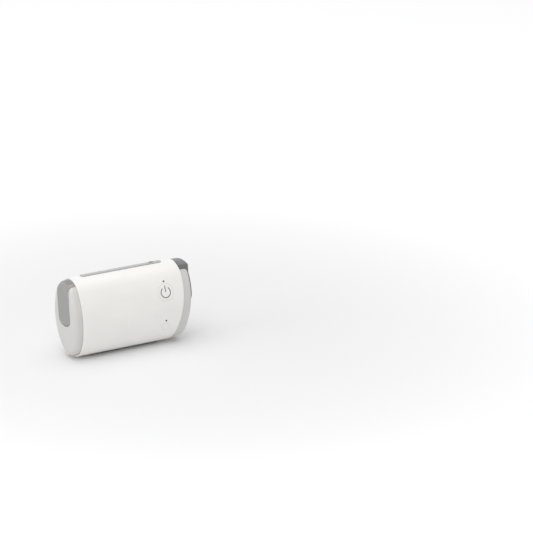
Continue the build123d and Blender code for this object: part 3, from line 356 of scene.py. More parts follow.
turned("shaft_steel", "b9bbbd", 0.18, 0.08, 0.002)
turned("pin_nickel", "cdc9c1", 0.16, 0.10, 0.002)
mottled("screw_steel", "b4b6b8", 0.28, 0.5, 0.002)
mottled("bearing_bronze", "a98348", 0.42, 0.12, 0.010)
mottled("magnet_dark", "36373b", 0.30, 0.9, 0.006, metallic=0.0)
mottled("solder", "c4c6c8", 0.25, 0.6, 0.010)
mottled("winding_copper", "a5512a", 0.26, 0.7, 0.002, contrast=0.08)

SHEET = 0.35  # a wave texture has close to pi bands to each unit of its scale
shader, place = finish("stator_steel", Metallic=1.0)
sheets = add(shader.id_data, "ShaderNodeTexWave", {
    "Vector": place, "Scale": scale_for(SHEET) / math.pi, "Distortion": 0.4, "Detail": 1.0,
}, bands_direction="Y").outputs["Fac"]
feed(shader, Base_Color=tint(sheets, linear("55514c"), linear("8d8984")),
     Roughness=spread(sheets, 0.5, 0.32, 0, 1))
relief(shader, sheets, 0.03)
print("metals made")

# %% [markdown]
# ## The circuit board
#
# FR4 board is woven glass in epoxy under green solder mask. Copper tracks lie under the
# mask and make it a lighter green where they run, straight along the board's edges. A
# Voronoi pattern with square cells gives such lines: even steps of the distance from a
# cell's point are nested squares. A fine checker gives the weave, and small round spots
# the plated holes. An image of a real board would look truer, but only from close by.

# %% Solder mask over tracks
TRACKS_PER_CELL = 6.0
shader, place = finish("board_green", IOR=1.5, Coat_Weight=0.35, Coat_Roughness=0.12)
tree = shader.id_data
flat = stretched(place, y=0.0)
cells = add(tree, "ShaderNodeTexVoronoi", {"Vector": flat, "Scale": scale_for(2.6), "Randomness": 0.85},
            feature="F1", distance="CHEBYCHEV").outputs["Distance"]
lines = calculate(tree, "FRACT", calculate(tree, "MULTIPLY", cells, TRACKS_PER_CELL))
track = spread(lines, 0, 1, start=0.62, end=0.68)
green = tint(track, linear("0c3f22"), linear("1c6a3b"))
dots = add(tree, "ShaderNodeTexVoronoi", {"Vector": flat, "Scale": scale_for(3.4), "Randomness": 0.9},
           feature="F1", distance="EUCLIDEAN").outputs["Distance"]
hole = spread(dots, 1, 0, start=0.07, end=0.09)
weave = add(tree, "ShaderNodeTexChecker", {"Vector": flat, "Scale": scale_for(0.5)}).outputs["Fac"]
feed(shader, Base_Color=tint(hole, green, linear("b79a5a")),
     Roughness=spread(weave, 0.30, 0.36, 0, 1))
relief(shader, track, 0.03)
print("board made")

# %% Moulded epoxy, ceramic and ink
mottled("chip_black", "1c1c1e", 0.48, 0.25, 0.006, metallic=0.0, contrast=0.1)
mottled("sensor_black", "222223", 0.42, 0.25, 0.006, metallic=0.0, contrast=0.1)
mottled("ceramic", "8f7358", 0.42, 0.4, 0.004, metallic=0.0, contrast=0.08)
mottled("grey_ink", "7c7c7c", 0.50, 0.5, 0.002, metallic=0.0, contrast=0.05)
print("finishes so far:", len(finishes))

# %% [markdown]
# ## Fleece and foam
#
# The air filter is needled polyester fleece: fine white fibres pressed into a soft pad.
# The inlet is lined with open-cell foam that takes the hiss out of the air. Fleece gets
# a sheen and stretched noise for its fibres. Foam gets round cells from a Voronoi
# pattern, darker in the middle: painted shade, as each cell is a little pit.

# %% Fleece and open-cell foam
shader, place = finish("filter_fleece", IOR=1.45, Sheen_Weight=0.35, Sheen_Roughness=0.6)
strands = blotches(stretched(place, y=0.15), size=0.25, detail=5, rough=0.75)
feed(shader, Base_Color=tint(spread(strands, 0, 1), linear("d3d6d2"), linear("f0f1ee")),
     Roughness=spread(strands, 0.85, 0.98))
relief(shader, strands, 0.12)

shader, place = finish("foam_charcoal", IOR=1.45, Sheen_Weight=0.15, Sheen_Roughness=0.7)
pits = add(shader.id_data, "ShaderNodeTexVoronoi", {"Vector": place, "Scale": scale_for(0.9)},
           feature="SMOOTH_F1").outputs["Distance"]
# The dark middle of each cell is painted shade of its pit.
charcoal = tint(spread(pits, 0, 1, 0.1, 0.6), linear("0d0d0e"), linear("3b3b3f"))
feed(shader, Base_Color=charcoal, Roughness=spread(pits, 0.95, 0.8, 0.1, 0.6))
relief(shader, pits, 0.35)
print("soft finishes made")

# %% [markdown]
# ## Dressing the CAD pieces
#
# Every CAD piece already names its finish in the record. Its mesh is left alone; only
# the material in its slot changes.

# %% Give each CAD piece its finish
for part in frame["record"]["subparts"]:
    for material_slot in nodes[part["node"]].material_slots:
        material_slot.material = finishes[part["material_slot"]]

# %% [markdown]
# ## Measuring the CAD
#
# New pieces go where the CAD pieces are, so their places are read from the CAD meshes.
# A node that holds several solids, such as all screws of one kind, falls apart into
# loose islands once its corners are welded.

# %% Boxes round the CAD's solids
WELD = 0.001 * MM


def welded(name):
    """A welded copy of a CAD node's mesh, in upright millimetres."""
    mesh = bmesh.new()
    mesh.from_mesh(nodes[name].data)
    bmesh.ops.remove_doubles(mesh, verts=mesh.verts, dist=WELD)
    for vertex in mesh.verts:
        vertex.co = upright(nodes[name].matrix_world @ vertex.co)
    return mesh


def extent(points):
    """Lowest and highest corner of some points."""
    return (Vector([min(point[axis] for point in points) for axis in range(3)]),
            Vector([max(point[axis] for point in points) for axis in range(3)]))


def node_extent(name):
    """Lowest and highest corner of a CAD node, in upright millimetres."""
    return extent([upright(nodes[name].matrix_world @ vertex.co) for vertex in nodes[name].data.vertices])


def islands(name):
    """Lowest and highest corner of each loose solid of a node, in upright millimetres."""
    mesh, boxes, seen = welded(name), [], set()
    for start in mesh.verts:
        if start in seen:
            continue
        seen.add(start)
        patch = [start]
        for vertex in patch:
            for edge in vertex.link_edges:
                other = edge.other_vert(vertex)
                if other not in seen:
                    seen.add(other)
                    patch.append(other)
        boxes.append(extent([vertex.co.copy() for vertex in patch]))
    mesh.free()
    return sorted(boxes, key=lambda box: (round(box[0].x, 2), round(box[0].z, 2)))


print("board screws:", len(islands("board_screws")), "chassis screws:", len(islands("chassis_screws")))

# %% Helpers for finished pieces
def settle(mesh, name, body, sharp=35):
    """A finished mesh as an object that rides on a body."""
    mesh.name = name
    mesh.shade_smooth()
    mesh.set_sharp_from_angle(angle=math.radians(sharp))
    made = in_scene(name, mesh)
    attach(made, body)
    print(name, "has", sum(len(face.vertices) - 2 for face in mesh.polygons), "triangles")
    return made


def close_sheets(mesh, sheets):
    """Faces over two grids of corners and round their rims, as one closed solid."""
    rims = []
    for sheet in sheets:
        for first, second in zip(sheet, sheet[1:]):
            for index in range(len(first) - 1):
                mesh.faces.new([first[index], first[index + 1], second[index + 1], second[index]])
        rims.append(sheet[0][:-1] + [row[-1] for row in sheet[:-1]]
                    + sheet[-1][:0:-1] + [row[0] for row in sheet[:0:-1]])
    under, over = rims
    for index in range(len(under)):
        mesh.faces.new([under[index - 1], under[index], over[index], over[index - 1]])
    bmesh.ops.recalc_face_normals(mesh, faces=mesh.faces)


def from_bmesh(mesh, material):
    """A bmesh in upright millimetres as a plain mesh of the scene, with its material."""
    for vertex in mesh.verts:
        vertex.co = placed(*vertex.co)
    plain = bpy.data.meshes.new("mesh")
    mesh.to_mesh(plain)
    mesh.free()
    plain.materials.append(finishes[material])
    return plain


# %% [markdown]
# ## The power sign
#
# A ring with a bar is the usual sign for on and off, and here it is pad-printed in grey
# on the start button. A texture could draw it, but only at the texture's sharpness. So
# it is a thin layer of ink: a flat outline, cut fine enough to follow the button, laid
# on the curved front by casting each point along the press direction.

# %% Print the ring and bar
RING_RADIUS = 5.25
STROKE = 1.05
RING_GAP = 36  # degrees from straight up to each end of the ring
BAR_FROM, BAR_TO = 0.4, 6.7
INK = 0.02
RING_STEPS, BAR_STEPS, CROSS_STEPS = 96, 16, 4

button_low, button_high = node_extent("start_button")
button_x = (button_low.x + button_high.x) / 2
button_z = (button_low.z + button_high.z) / 2
button_mesh = welded("start_button")
front = BVHTree.FromBMesh(button_mesh)
button_mesh.free()


def on_button(x, z, lift):
    """The point of the button's front at x, z from its middle, lifted off the surface."""
    start = Vector((button_x + x, button_low.y - 1, button_z + z))
    hit, normal, _, _ = front.ray_cast(start, Vector((0, 1, 0)))
    return hit + normal * lift


def ink_patch(mesh, rows):
    """A closed thin layer from rows of points across the button."""
    close_sheets(mesh, [[[mesh.verts.new(on_button(x, z, lift)) for x, z in row] for row in rows]
                        for lift in (-INK, INK)])


ink = bmesh.new()
across = [-STROKE / 2 + STROKE * step / CROSS_STEPS for step in range(CROSS_STEPS + 1)]
ring_rows = []
for step in range(RING_STEPS + 1):
    angle = math.radians(90 - RING_GAP - (360 - 2 * RING_GAP) * step / RING_STEPS)
    radii = [RING_RADIUS + side for side in across]
    ring_rows.append([(radius * math.cos(angle), radius * math.sin(angle)) for radius in radii])
ink_patch(ink, ring_rows)
heights = [BAR_FROM + (BAR_TO - BAR_FROM) * step / BAR_STEPS for step in range(BAR_STEPS + 1)]
ink_patch(ink, [[(side, height) for side in across] for height in heights])
settle(from_bmesh(ink, "grey_ink"), "power_sign", "start_button")

# %% [markdown]
# ## The outlet block
#
# The block over the outlet cap is one moulding with the end plate. On the real machine it
# is wider than the CAD has it. A Boolean union with a wider block would leave slivers
# that shade badly, so the sides are moved out in a copy of the CAD piece. Every corner
# keeps its share of the height between the cap and the crown, so the roundings stay as
# they are. Corners near the middle don't move, which leaves the round port opening in
# shape. Below the block the sides run out into the plate's own outline.

# %% Widen the block
BLOCK_HALF, CAD_HALF = 14.4, 12.0  # half the block's width, here and in the CAD
STILL = 8.0  # corners nearer to the middle than this stay
CROWN_RADIUS = 40.0  # arc across the block's top
CAP_CENTRE, SUNK_RADIUS = 19.4, 18.4  # arc of the cap that the block is let into
PLATE_RADIUS, PLATE_FOOT = 16.5, 27.46  # arc of the plate, and where it is as wide as the block
NECK, NECK_TOP, NECK_FOOT = 6.0, 32.9, 29.3  # fillet between block and plate
FACE_RADIUS, FACE_APEX = 300.8, 31.4  # slow curve of the end face
FACE_START = 66.0  # corners this far out follow that curve


def arc(middle, radius, side):
    """Height of an arc over a point to its side."""
    return middle + math.sqrt(radius ** 2 - side ** 2)


def half_width(z):
    """Half the CAD piece's width at a height."""
    if z > NECK_TOP:
        return CAD_HALF
    if z > NECK_FOOT:
        return CAD_HALF + NECK - math.sqrt(NECK ** 2 - (NECK_TOP - z) ** 2)
    return math.sqrt(PLATE_RADIUS ** 2 - (z - CAP_CENTRE) ** 2)


def widened(x, y, z):
    """Where a corner of the block or of the plate's neck goes."""
    if z <= PLATE_FOOT:
        return x, y, z
    half = half_width(z)
    reach = min(max((abs(y) - STILL) / (half - STILL), 0.0), 1.0)
    wide = y + math.copysign((BLOCK_HALF - half) * reach * reach * (3 - 2 * reach), y)
    seat, new_seat = (arc(CAP_CENTRE, SUNK_RADIUS, side) for side in (y, wide))
    crown, new_crown = (arc(crown_top - CROWN_RADIUS, CROWN_RADIUS, side) for side in (y, wide))
    if z < seat:
        high = PLATE_FOOT + (z - PLATE_FOOT) * (new_seat - PLATE_FOOT) / (seat - PLATE_FOOT)
    else:
        high = new_seat + (z - seat) * (new_crown - new_seat) / (crown - seat)
    bulge, new_bulge = (arc(0.0, FACE_RADIUS, FACE_APEX - level) for level in (z, high))
    at_face = min(max(x - FACE_START, 0.0), 1.0)
    return x + (new_bulge - bulge) * at_face, wide, high


crown_top = node_extent("outlet_panel")[1].z
panel = welded("outlet_panel")
for vertex in panel.verts:
    vertex.co = widened(*vertex.co)
print("open edges:", sum(not edge.is_manifold for edge in panel.edges),
      "volume in ml:", round(panel.calc_volume() / 1000, 2))
wide_panel = settle(from_bmesh(panel, "panel_grey"), "wide_outlet_panel", "housing")
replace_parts(wide_panel, "outlet_panel")
# Large faces decide the shading, so the long thin triangles leave no patches.
shading = wide_panel.modifiers.new("even shading", "WEIGHTED_NORMAL")
shading.keep_sharp = True
shading.weight = 100

# %% [markdown]
# ## The air filter
#
# The real filter is a die-cut pad of fleece: flat, with soft edges where the cutter
# pressed it thin and a loose surface. Cloth simulation would swell it like a cushion,
# which fleece this stiff does not do. So the pad is a fine grid whose thickness falls
# off near the edge, roughened by noise.

# %% Shape the pad
LUMPS = 1.7  # noise steps per millimetre in the fleece's surface
APART = 9  # keeps the noise of the two sides apart
FALLOFF = 8  # power of the curve by which the pad thins at its rim


def slab(low, high, corner, cells, edge_thickness, fuzz):
    """A closed pad in the YZ plane between two corners, thinner towards its rounded rim."""
    mesh = bmesh.new()
    middle = (low + high) / 2
    half = (high - low) / 2
    sheets = []
    for side in (-1, 1):
        sheet = []
        for row in range(cells + 1):
            line = []
            for column in range(cells + 1):
                u, v = 2 * column / cells - 1, 2 * row / cells - 1
                y, z = u * half.y, v * half.z
                over_y, over_z = abs(y) - half.y + corner, abs(z) - half.z + corner
                if over_y > 0 and over_z > 0:
                    reach = math.hypot(over_y, over_z)
                    if reach > 0:
                        pull = max(over_y, over_z) / reach
                        y = math.copysign(half.y - corner + over_y * pull, y)
                        z = math.copysign(half.z - corner + over_z * pull, z)
                inside = 1 - max(abs(u), abs(v)) ** FALLOFF
                rise = edge_thickness + (1 - edge_thickness) * inside
                lump = noise.noise(Vector((side * APART, y * LUMPS, z * LUMPS)))
                out = half.x * rise - fuzz + lump * fuzz * inside
                line.append(mesh.verts.new((middle.x + side * out, middle.y + y, middle.z + z)))
            sheet.append(line)
        sheets.append(sheet)
    close_sheets(mesh, sheets)
    return mesh


filter_low, filter_high = node_extent("air_filter")
pad = slab(filter_low, filter_high, corner=2.5, cells=44, edge_thickness=0.72, fuzz=0.12)
filter_pad = settle(from_bmesh(pad, "filter_fleece"), "filter_pad", "housing", sharp=80)
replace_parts(filter_pad, "air_filter")
print("filter is", [round(value, 1) for value in filter_high - filter_low], "mm")

# %% [markdown]
# ## The inlet foam
#
# The foam fills the end of the machine round a passage for the air. It is sawn from a
# block, so its sides are straight but open: cut cells pit the whole surface. A voxel
# remesh of the CAD block gives even faces, and each point then moves in by a cell noise.

# %% Pit the foam block
VOXEL = 0.7
CELL = 1.6  # width of a foam cell
SAWN_OFF = 0.12  # how far every point moves in
PIT, PIT_EDGE = 0.35, 0.55  # depth of a pit, and where in a cell it ends


def evaluated_mesh(source):
    """An object's mesh with its modifiers worked in. The object is removed."""
    mesh = bpy.data.meshes.new_from_object(source.evaluated_get(bpy.context.evaluated_depsgraph_get()))
    source.modifiers.clear()
    bpy.data.objects.remove(source)
    return mesh


foam = in_scene("foam", from_bmesh(welded("inlet_foam"), "foam_charcoal"))
remesh = foam.modifiers.new("even faces", "REMESH")
remesh.mode = "VOXEL"
remesh.voxel_size = VOXEL * MM
foam_mesh = evaluated_mesh(foam)
cut = bmesh.new()
cut.from_mesh(foam_mesh)
cut.normal_update()
for vertex in cut.verts:
    from_cell = noise.voronoi(vertex.co / MM / CELL)[0][0]
    vertex.co -= vertex.normal * (SAWN_OFF + PIT * max(0.0, PIT_EDGE - from_cell)) * MM
cut.to_mesh(foam_mesh)
cut.free()
foam_mesh.materials.clear()
foam_mesh.materials.append(finishes["foam_charcoal"])
foam_block = settle(foam_mesh, "foam_block", "housing", sharp=80)
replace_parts(foam_block, "inlet_foam")

# %% [markdown]
# ## Geometry Nodes for what repeats
#
# Screws, windings, leads and chip parts are each one shape many times over. A Geometry
# Nodes tree makes the shape from named sizes and sets it on points. Its result is then
# turned into a plain mesh, because an exported model keeps no instances. Python loops
# could copy meshes too, but a tree can be reused with other sizes in any file.

# %% Helpers for Geometry Nodes
FLOAT, COUNT = "NodeSocketFloat", "NodeSocketInt"
SURFACE, SHAPE = "NodeSocketMaterial", "NodeSocketGeometry"


def new_tree(name, inputs):
    """An empty tree with points coming in, its named sizes, and the group input's outputs."""
    tree = bpy.data.node_groups.new(name, "GeometryNodeTree")
    tree.interface.new_socket("Points", in_out="INPUT", socket_type=SHAPE)
    for label, kind in inputs.items():
        tree.interface.new_socket(label, in_out="INPUT", socket_type=kind)
    tree.interface.new_socket("Result", in_out="OUTPUT", socket_type=SHAPE)
    return tree, add(tree, "NodeGroupInput").outputs


def geo(tree, kind, links=None, **settings):
    """The first output of a new geometry node."""
    return add(tree, "GeometryNode" + kind, links, **settings).outputs[0]


def vector(tree, x=0.0, y=0.0, z=0.0):
    return add(tree, "ShaderNodeCombineXYZ", {"X": x, "Y": y, "Z": z}).outputs[0]


def join(tree, *pieces):
    """Several geometries as one."""
    joined = add(tree, "GeometryNodeJoinGeometry")
    for piece in pieces:
        tree.links.new(piece, joined.inputs[0])
    return joined.outputs[0]


def shift(tree, geometry, z):
    """A geometry moved along its own Z axis."""
    return geo(tree, "Transform", {"Geometry": geometry, "Translation": vector(tree, z=z)})


def instance(tree, points, shape, **rotation):
    """The shape on every point, turned by angles about x, y and z."""
    return geo(tree, "InstanceOnPoints", {
        "Points": points, "Instance": shape, "Rotation": vector(tree, **rotation)})


def around(tree, shape, count):
    """Copies of a shape at even steps round its own Z axis."""
    step = calculate(tree, "DIVIDE", 2 * math.pi, count)
    centre = geo(tree, "Points", {"Count": count})
    index = geo(tree, "InputIndex")
    return instance(tree, centre, shape, z=calculate(tree, "MULTIPLY", index, step))


def swept(tree, path, section):
    """A solid wire, strip or bar: a section drawn along a path, closed at both ends."""
    return geo(tree, "CurveToMesh", {"Curve": path, "Profile Curve": section, "Fill Caps": True})


def close_tree(tree, geometry, material, chosen=None, other=None):
    """Real faces, their material, and another material for a chosen part if there is one."""
    real = geo(tree, "RealizeInstances", {"Geometry": geometry})
    dressed = geo(tree, "SetMaterial", {"Geometry": real, "Material": material})
    if chosen:
        dressed = geo(tree, "SetMaterial", {"Geometry": dressed, "Selection": chosen, "Material": other})
    add(tree, "NodeGroupOutput", {"Result": dressed})


def grow(tree, points, **sizes):
    """Runs a tree on points and gives back a plain mesh."""
    seed = bpy.data.meshes.new("points")
    seed.from_pydata(points, [], [])
    carrier = in_scene("points", seed)
    modifier = carrier.modifiers.new("tree", "NODES")
    modifier.node_group = tree
    for item in tree.interface.items_tree:
        label = item.name.replace(" ", "_")
        if item.in_out == "INPUT" and label in sizes:
            modifier[item.identifier] = sizes[label]
    return evaluated_mesh(carrier)


print("a tree's sizes are set by name")

# %% [markdown]
# ## Screws
#
# The screws are small zinc-plated thread-formers with a six-lobed recess. The head is a
# cylinder whose upper rings are drawn in to round it, the recess is cut with a rounded
# star, and the thread is a thin three-sided wire on a spiral round the core. A Screw
# modifier could turn the thread too, but not in a tree that sets whole screws on points.

# %% The screw tree: head and recess
HEAD_DRAWN_IN = 0.22  # how much narrower the head's top is
LOBE_TIP, LOBE_VALLEY, LOBE_ROUNDING = 0.52, 0.36, 0.08  # the recess, in head radii

tree, sizes = new_tree("thread_forming_screw", {
    "Head Radius": FLOAT, "Head Height": FLOAT, "Core Radius": FLOAT, "Length": FLOAT,
    "Pitch": FLOAT, "Tilt": FLOAT, "Finish": SURFACE})
times, divided = (partial(calculate, tree, word) for word in ("MULTIPLY", "DIVIDE"))
half_height = divided(sizes["Head Height"], 2.0)
head = geo(tree, "MeshCylinder", {
    "Vertices": 40, "Side Segments": 6, "Radius": sizes["Head Radius"], "Depth": sizes["Head Height"]})
parts = add(tree, "ShaderNodeSeparateXYZ", {0: geo(tree, "InputPosition")}).outputs
raised = calculate(tree, "ADD", parts["Z"], half_height)
level = calculate(tree, "POWER", divided(raised, sizes["Head Height"]), 4.0)
narrow = calculate(tree, "SUBTRACT", 1.0, times(HEAD_DRAWN_IN, level))
ring = vector(tree, times(parts["X"], narrow), times(parts["Y"], narrow), raised)
round_head = geo(tree, "SetPosition", {"Geometry": head, "Position": ring})
star = geo(tree, "CurveStar", {
    "Points": 6, "Inner Radius": times(sizes["Head Radius"], LOBE_VALLEY),
    "Outer Radius": times(sizes["Head Radius"], LOBE_TIP)})
lobes = geo(tree, "FilletCurve", {"Curve": star, "Radius": times(sizes["Head Radius"], LOBE_ROUNDING)})
lobes = geo(tree, "ResampleCurve", {"Curve": lobes, "Count": 48})
base = shift(tree, geo(tree, "FillCurve", {"Curve": lobes}), z=half_height)
cutter = geo(tree, "ExtrudeMesh", {
    "Mesh": base, "Offset": (0, 0, 1), "Offset Scale": sizes["Head Height"], "Individual": False})
cutter = join(tree, geo(tree, "FlipFaces", {"Mesh": base}), cutter)
cutter = geo(tree, "MergeByDistance", {"Geometry": cutter, "Distance": WELD})
recessed = geo(tree, "MeshBoolean", {"Mesh 1": round_head, "Mesh 2": cutter}, operation="DIFFERENCE")
print("head has", len(tree.nodes), "nodes")

# %% The screw tree: core and thread
CORE, CREST = 0.84, 0.16  # the plain core and the thread's wire, in thread radii
THREADED, THREAD_END = 0.94, -0.98  # length and lowest point of the thread, in lengths

core_radius = times(sizes["Core Radius"], CORE)
core = geo(tree, "MeshCylinder", {"Vertices": 24, "Radius": core_radius, "Depth": sizes["Length"]})
core = shift(tree, core, z=times(sizes["Length"], -0.5))
spiral = geo(tree, "CurveSpiral", {
    "Resolution": 18, "Rotations": divided(sizes["Length"], sizes["Pitch"]), "Start Radius": core_radius,
    "End Radius": core_radius, "Height": times(sizes["Length"], THREADED)})
wire = geo(tree, "CurvePrimitiveCircle", {
    "Resolution": 3, "Radius": times(sizes["Core Radius"], CREST)}, mode="RADIUS")
thread = shift(tree, swept(tree, spiral, wire), z=times(sizes["Length"], THREAD_END))
whole = join(tree, recessed, core, thread)
close_tree(tree, instance(tree, sizes["Points"], whole, x=sizes["Tilt"]), sizes["Finish"])
screw_tree = tree
print("screw tree has", len(tree.nodes), "nodes")

# %% Set the screws where the CAD has them
HEAD_HEIGHT, THREAD_RADIUS, PITCH = 1.2, 1.0, 0.5
for node_name, piece_name in (("board_screws", "threaded_board_screws"),
                              ("chassis_screws", "threaded_chassis_screws")):
    boxes = islands(node_name)
    seats = [placed((low.x + high.x) / 2, high.y - HEAD_HEIGHT, (low.z + high.z) / 2)
             for low, high in boxes]
    low, high = boxes[0]
    length = high.y - low.y - HEAD_HEIGHT
    made = grow(screw_tree, seats, Head_Radius=(high.x - low.x) / 2 * MM, Head_Height=HEAD_HEIGHT * MM,
                Core_Radius=THREAD_RADIUS * MM, Length=length * MM, Pitch=PITCH * MM, Tilt=TO_BACK,
                Finish=finishes["screw_steel"])
    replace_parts(settle(made, piece_name, "housing"), node_name)
    print(node_name, "reach", round(length, 1), "mm")

# %% [markdown]
# ## Windings
#
# Each tooth of the stator carries two layers of enamelled copper wire, wound side by
# side. A coil starts as a round spiral with a radius of one. Its sine and cosine then
# pass through a sixth-power curve, which makes the circle a rounded rectangle, and are
# scaled to the tooth. Six copies stand round the shaft. A wave of bumps on the CAD block
# would be cheaper, but its edge would stay straight and no wire would cast a shadow.

# %% The winding tree
SQUARENESS = 6.0  # power of the curve that squares the circle

tree, sizes = new_tree("wound_teeth", {
    "Half Width": FLOAT, "Half Length": FLOAT, "Start": FLOAT, "Height": FLOAT, "Wire": FLOAT,
    "Teeth": COUNT, "Tilt": FLOAT, "Finish": SURFACE})
plus, times, divided, power = (
    partial(calculate, tree, word) for word in ("ADD", "MULTIPLY", "DIVIDE", "POWER"))


def wound_layer(half_width, half_length):
    """One layer of wire round a tooth that points along +X."""
    path = geo(tree, "CurveSpiral", {
        "Resolution": 28, "Rotations": divided(sizes["Height"], sizes["Wire"]),
        "Start Radius": 1.0, "End Radius": 1.0, "Height": sizes["Height"]})
    point = add(tree, "ShaderNodeSeparateXYZ", {0: geo(tree, "InputPosition")}).outputs
    powers = [power(calculate(tree, "ABSOLUTE", point[axis]), SQUARENESS) for axis in ("X", "Y")]
    reach = power(plus(*powers), -1 / SQUARENESS)
    place = vector(tree, plus(point["Z"], sizes["Start"]),
                   times(times(point["X"], reach), half_width),
                   times(times(point["Y"], reach), half_length))
    path = geo(tree, "SetPosition", {"Geometry": path, "Position": place})
    section = geo(tree, "CurvePrimitiveCircle", {
        "Resolution": 6, "Radius": divided(sizes["Wire"], 2.0)}, mode="RADIUS")
    return swept(tree, path, section)


outer = [sizes["Half Width"], sizes["Half Length"]]
inner = [calculate(tree, "SUBTRACT", half, sizes["Wire"]) for half in outer]
coils = around(tree, join(tree, wound_layer(*outer), wound_layer(*inner)), sizes["Teeth"])
close_tree(tree, instance(tree, sizes["Points"], coils, x=sizes["Tilt"]), sizes["Finish"])
coil_tree = tree
print("winding tree has", len(tree.nodes), "nodes")

# %% Wind the teeth
WIRE = 0.3
COIL_START, COIL_REACH = 6.4, 9.0  # from the shaft's axis
COIL_WIDTH = 3.8
coil_low, coil_high = node_extent("motor_windings")
middle = (coil_low + coil_high) / 2
coil_length = coil_high.y - coil_low.y
wound = grow(coil_tree, [placed(*middle)], Half_Width=(COIL_WIDTH - WIRE) / 2 * MM,
             Half_Length=(coil_length - WIRE) / 2 * MM, Start=(COIL_START + WIRE / 2) * MM,
             Height=(COIL_REACH - COIL_START - WIRE) * MM, Wire=WIRE * MM, Teeth=6, Tilt=TO_BACK,
             Finish=finishes["winding_copper"])
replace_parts(settle(wound, "wound_coils", "housing", sharp=60), "motor_windings")

# %% [markdown]
# ## Leads of the chips
#
# The CAD shows each chip as a block. What makes a block look like a chip is its leads:
# bent strips of tinned copper, at an even pitch, that leave the body halfway up and end
# flat on the board. One lead is a Bezier curve with a flat section. A row of them stands
# along one side, and rows stand on two or four sides of the chip.

# %% The lead tree
LEAD_THICKNESS = 0.12 * MM
LEAD_WIDTH = 0.42  # in pitches
BEND_OUT, BEND_IN = 0.7, 0.2  # the bend's two handles, in lengths of the foot

tree, sizes = new_tree("chip_leads", {
    "Half Width": FLOAT, "Count": COUNT, "Pitch": FLOAT, "Rise": FLOAT, "Foot": FLOAT, "Sides": COUNT,
    "Tilt": FLOAT, "Finish": SURFACE})
times = partial(calculate, tree, "MULTIPLY")
bend = geo(tree, "CurvePrimitiveBezierSegment", {
    "Resolution": 10, "Start": vector(tree, z=sizes["Rise"]),
    "Start Handle": vector(tree, times(sizes["Foot"], BEND_OUT), z=sizes["Rise"]),
    "End Handle": vector(tree, times(sizes["Foot"], BEND_IN), z=LEAD_THICKNESS / 2),
    "End": vector(tree, sizes["Foot"], z=LEAD_THICKNESS / 2)})
strip = geo(tree, "CurvePrimitiveQuadrilateral", {
    "Width": LEAD_THICKNESS, "Height": times(sizes["Pitch"], LEAD_WIDTH)})
steps = calculate(tree, "SUBTRACT", sizes["Count"], 1.0)
row_start = times(steps, times(sizes["Pitch"], -0.5))
row = geo(tree, "MeshLine", {
    "Count": sizes["Count"], "Start Location": vector(tree, sizes["Half Width"], row_start),
    "Offset": vector(tree, y=sizes["Pitch"])}, mode="OFFSET")
sides = around(tree, instance(tree, row, swept(tree, bend, strip)), sizes["Sides"])
close_tree(tree, instance(tree, sizes["Points"], sides, x=sizes["Tilt"]), sizes["Finish"])
lead_tree = tree
print("lead tree has", len(tree.nodes), "nodes")

# %% Leads for every chip
TALLEST_CHIP = 2.0  # taller blocks are connectors and have no such leads
SQUARE_PITCH, LONG_PITCH = 0.65, 0.8  # on four sides of a square chip, or on two
BARE_CORNERS = 1.0  # length of a side that carries no leads
FOOT = 0.9

chips = islands("board_parts")
board_back = chips[0][0].y
leads = bmesh.new()
for low, high in chips:
    width, tall, length = (high[axis] - low[axis] for axis in range(3))
    if tall > TALLEST_CHIP:
        continue
    sides, pitch = (4, SQUARE_PITCH) if abs(width - length) < 0.1 else (2, LONG_PITCH)
    middle = placed((low.x + high.x) / 2, board_back, (low.z + high.z) / 2)
    leads.from_mesh(grow(
        lead_tree, [middle], Half_Width=width / 2 * MM, Count=int((length - BARE_CORNERS) / pitch) + 1,
        Pitch=pitch * MM, Rise=tall / 2 * MM, Foot=FOOT * MM, Sides=sides, Tilt=TO_BACK,
        Finish=finishes["solder"]))
lead_mesh = bpy.data.meshes.new("leads")
leads.to_mesh(lead_mesh)
leads.free()
lead_mesh.materials.append(finishes["solder"])
settle(lead_mesh, "chip_leads", "housing")

# %% [markdown]
# ## Small parts on the board
#
# Between the chips lie resistors and capacitors 1.6 mm long: a body of ceramic with a
# tinned cap at each end. They stand at places drawn with a fixed seed, clear of chips,
# screws and the board's edge, and the tree turns about half of them by a quarter.

# %% The small-part tree
ROUNDING = 0.18  # of the long edges, in heights
SLIMMER = 0.94  # the body's section, in that of its caps
INTO_CAPS = 1.02  # how far the body reaches, in lengths of its bare part

tree, sizes = new_tree("chip_components", {
    "Length": FLOAT, "Width": FLOAT, "Height": FLOAT, "Cap": FLOAT, "Seed": COUNT, "Tilt": FLOAT,
    "Body": SURFACE, "Metal": SURFACE})
times = partial(calculate, tree, "MULTIPLY")


def rounded_bar(start, end, share):
    """A bar along X that lies on the board, with its long edges rounded."""
    width, height = (times(sizes[side], share) for side in ("Width", "Height"))
    outline = geo(tree, "CurvePrimitiveQuadrilateral", {"Width": width, "Height": height})
    outline = geo(tree, "FilletCurve", {
        "Curve": outline, "Count": 3, "Radius": times(height, ROUNDING)}, mode="POLY")
    middle = times(sizes["Height"], 0.5)
    axis = geo(tree, "CurvePrimitiveLine", {
        "Start": vector(tree, start, z=middle), "End": vector(tree, end, z=middle)})
    turned_up = geo(tree, "SetCurveNormal", {"Curve": axis}, mode="Z_UP")
    return swept(tree, turned_up, outline)


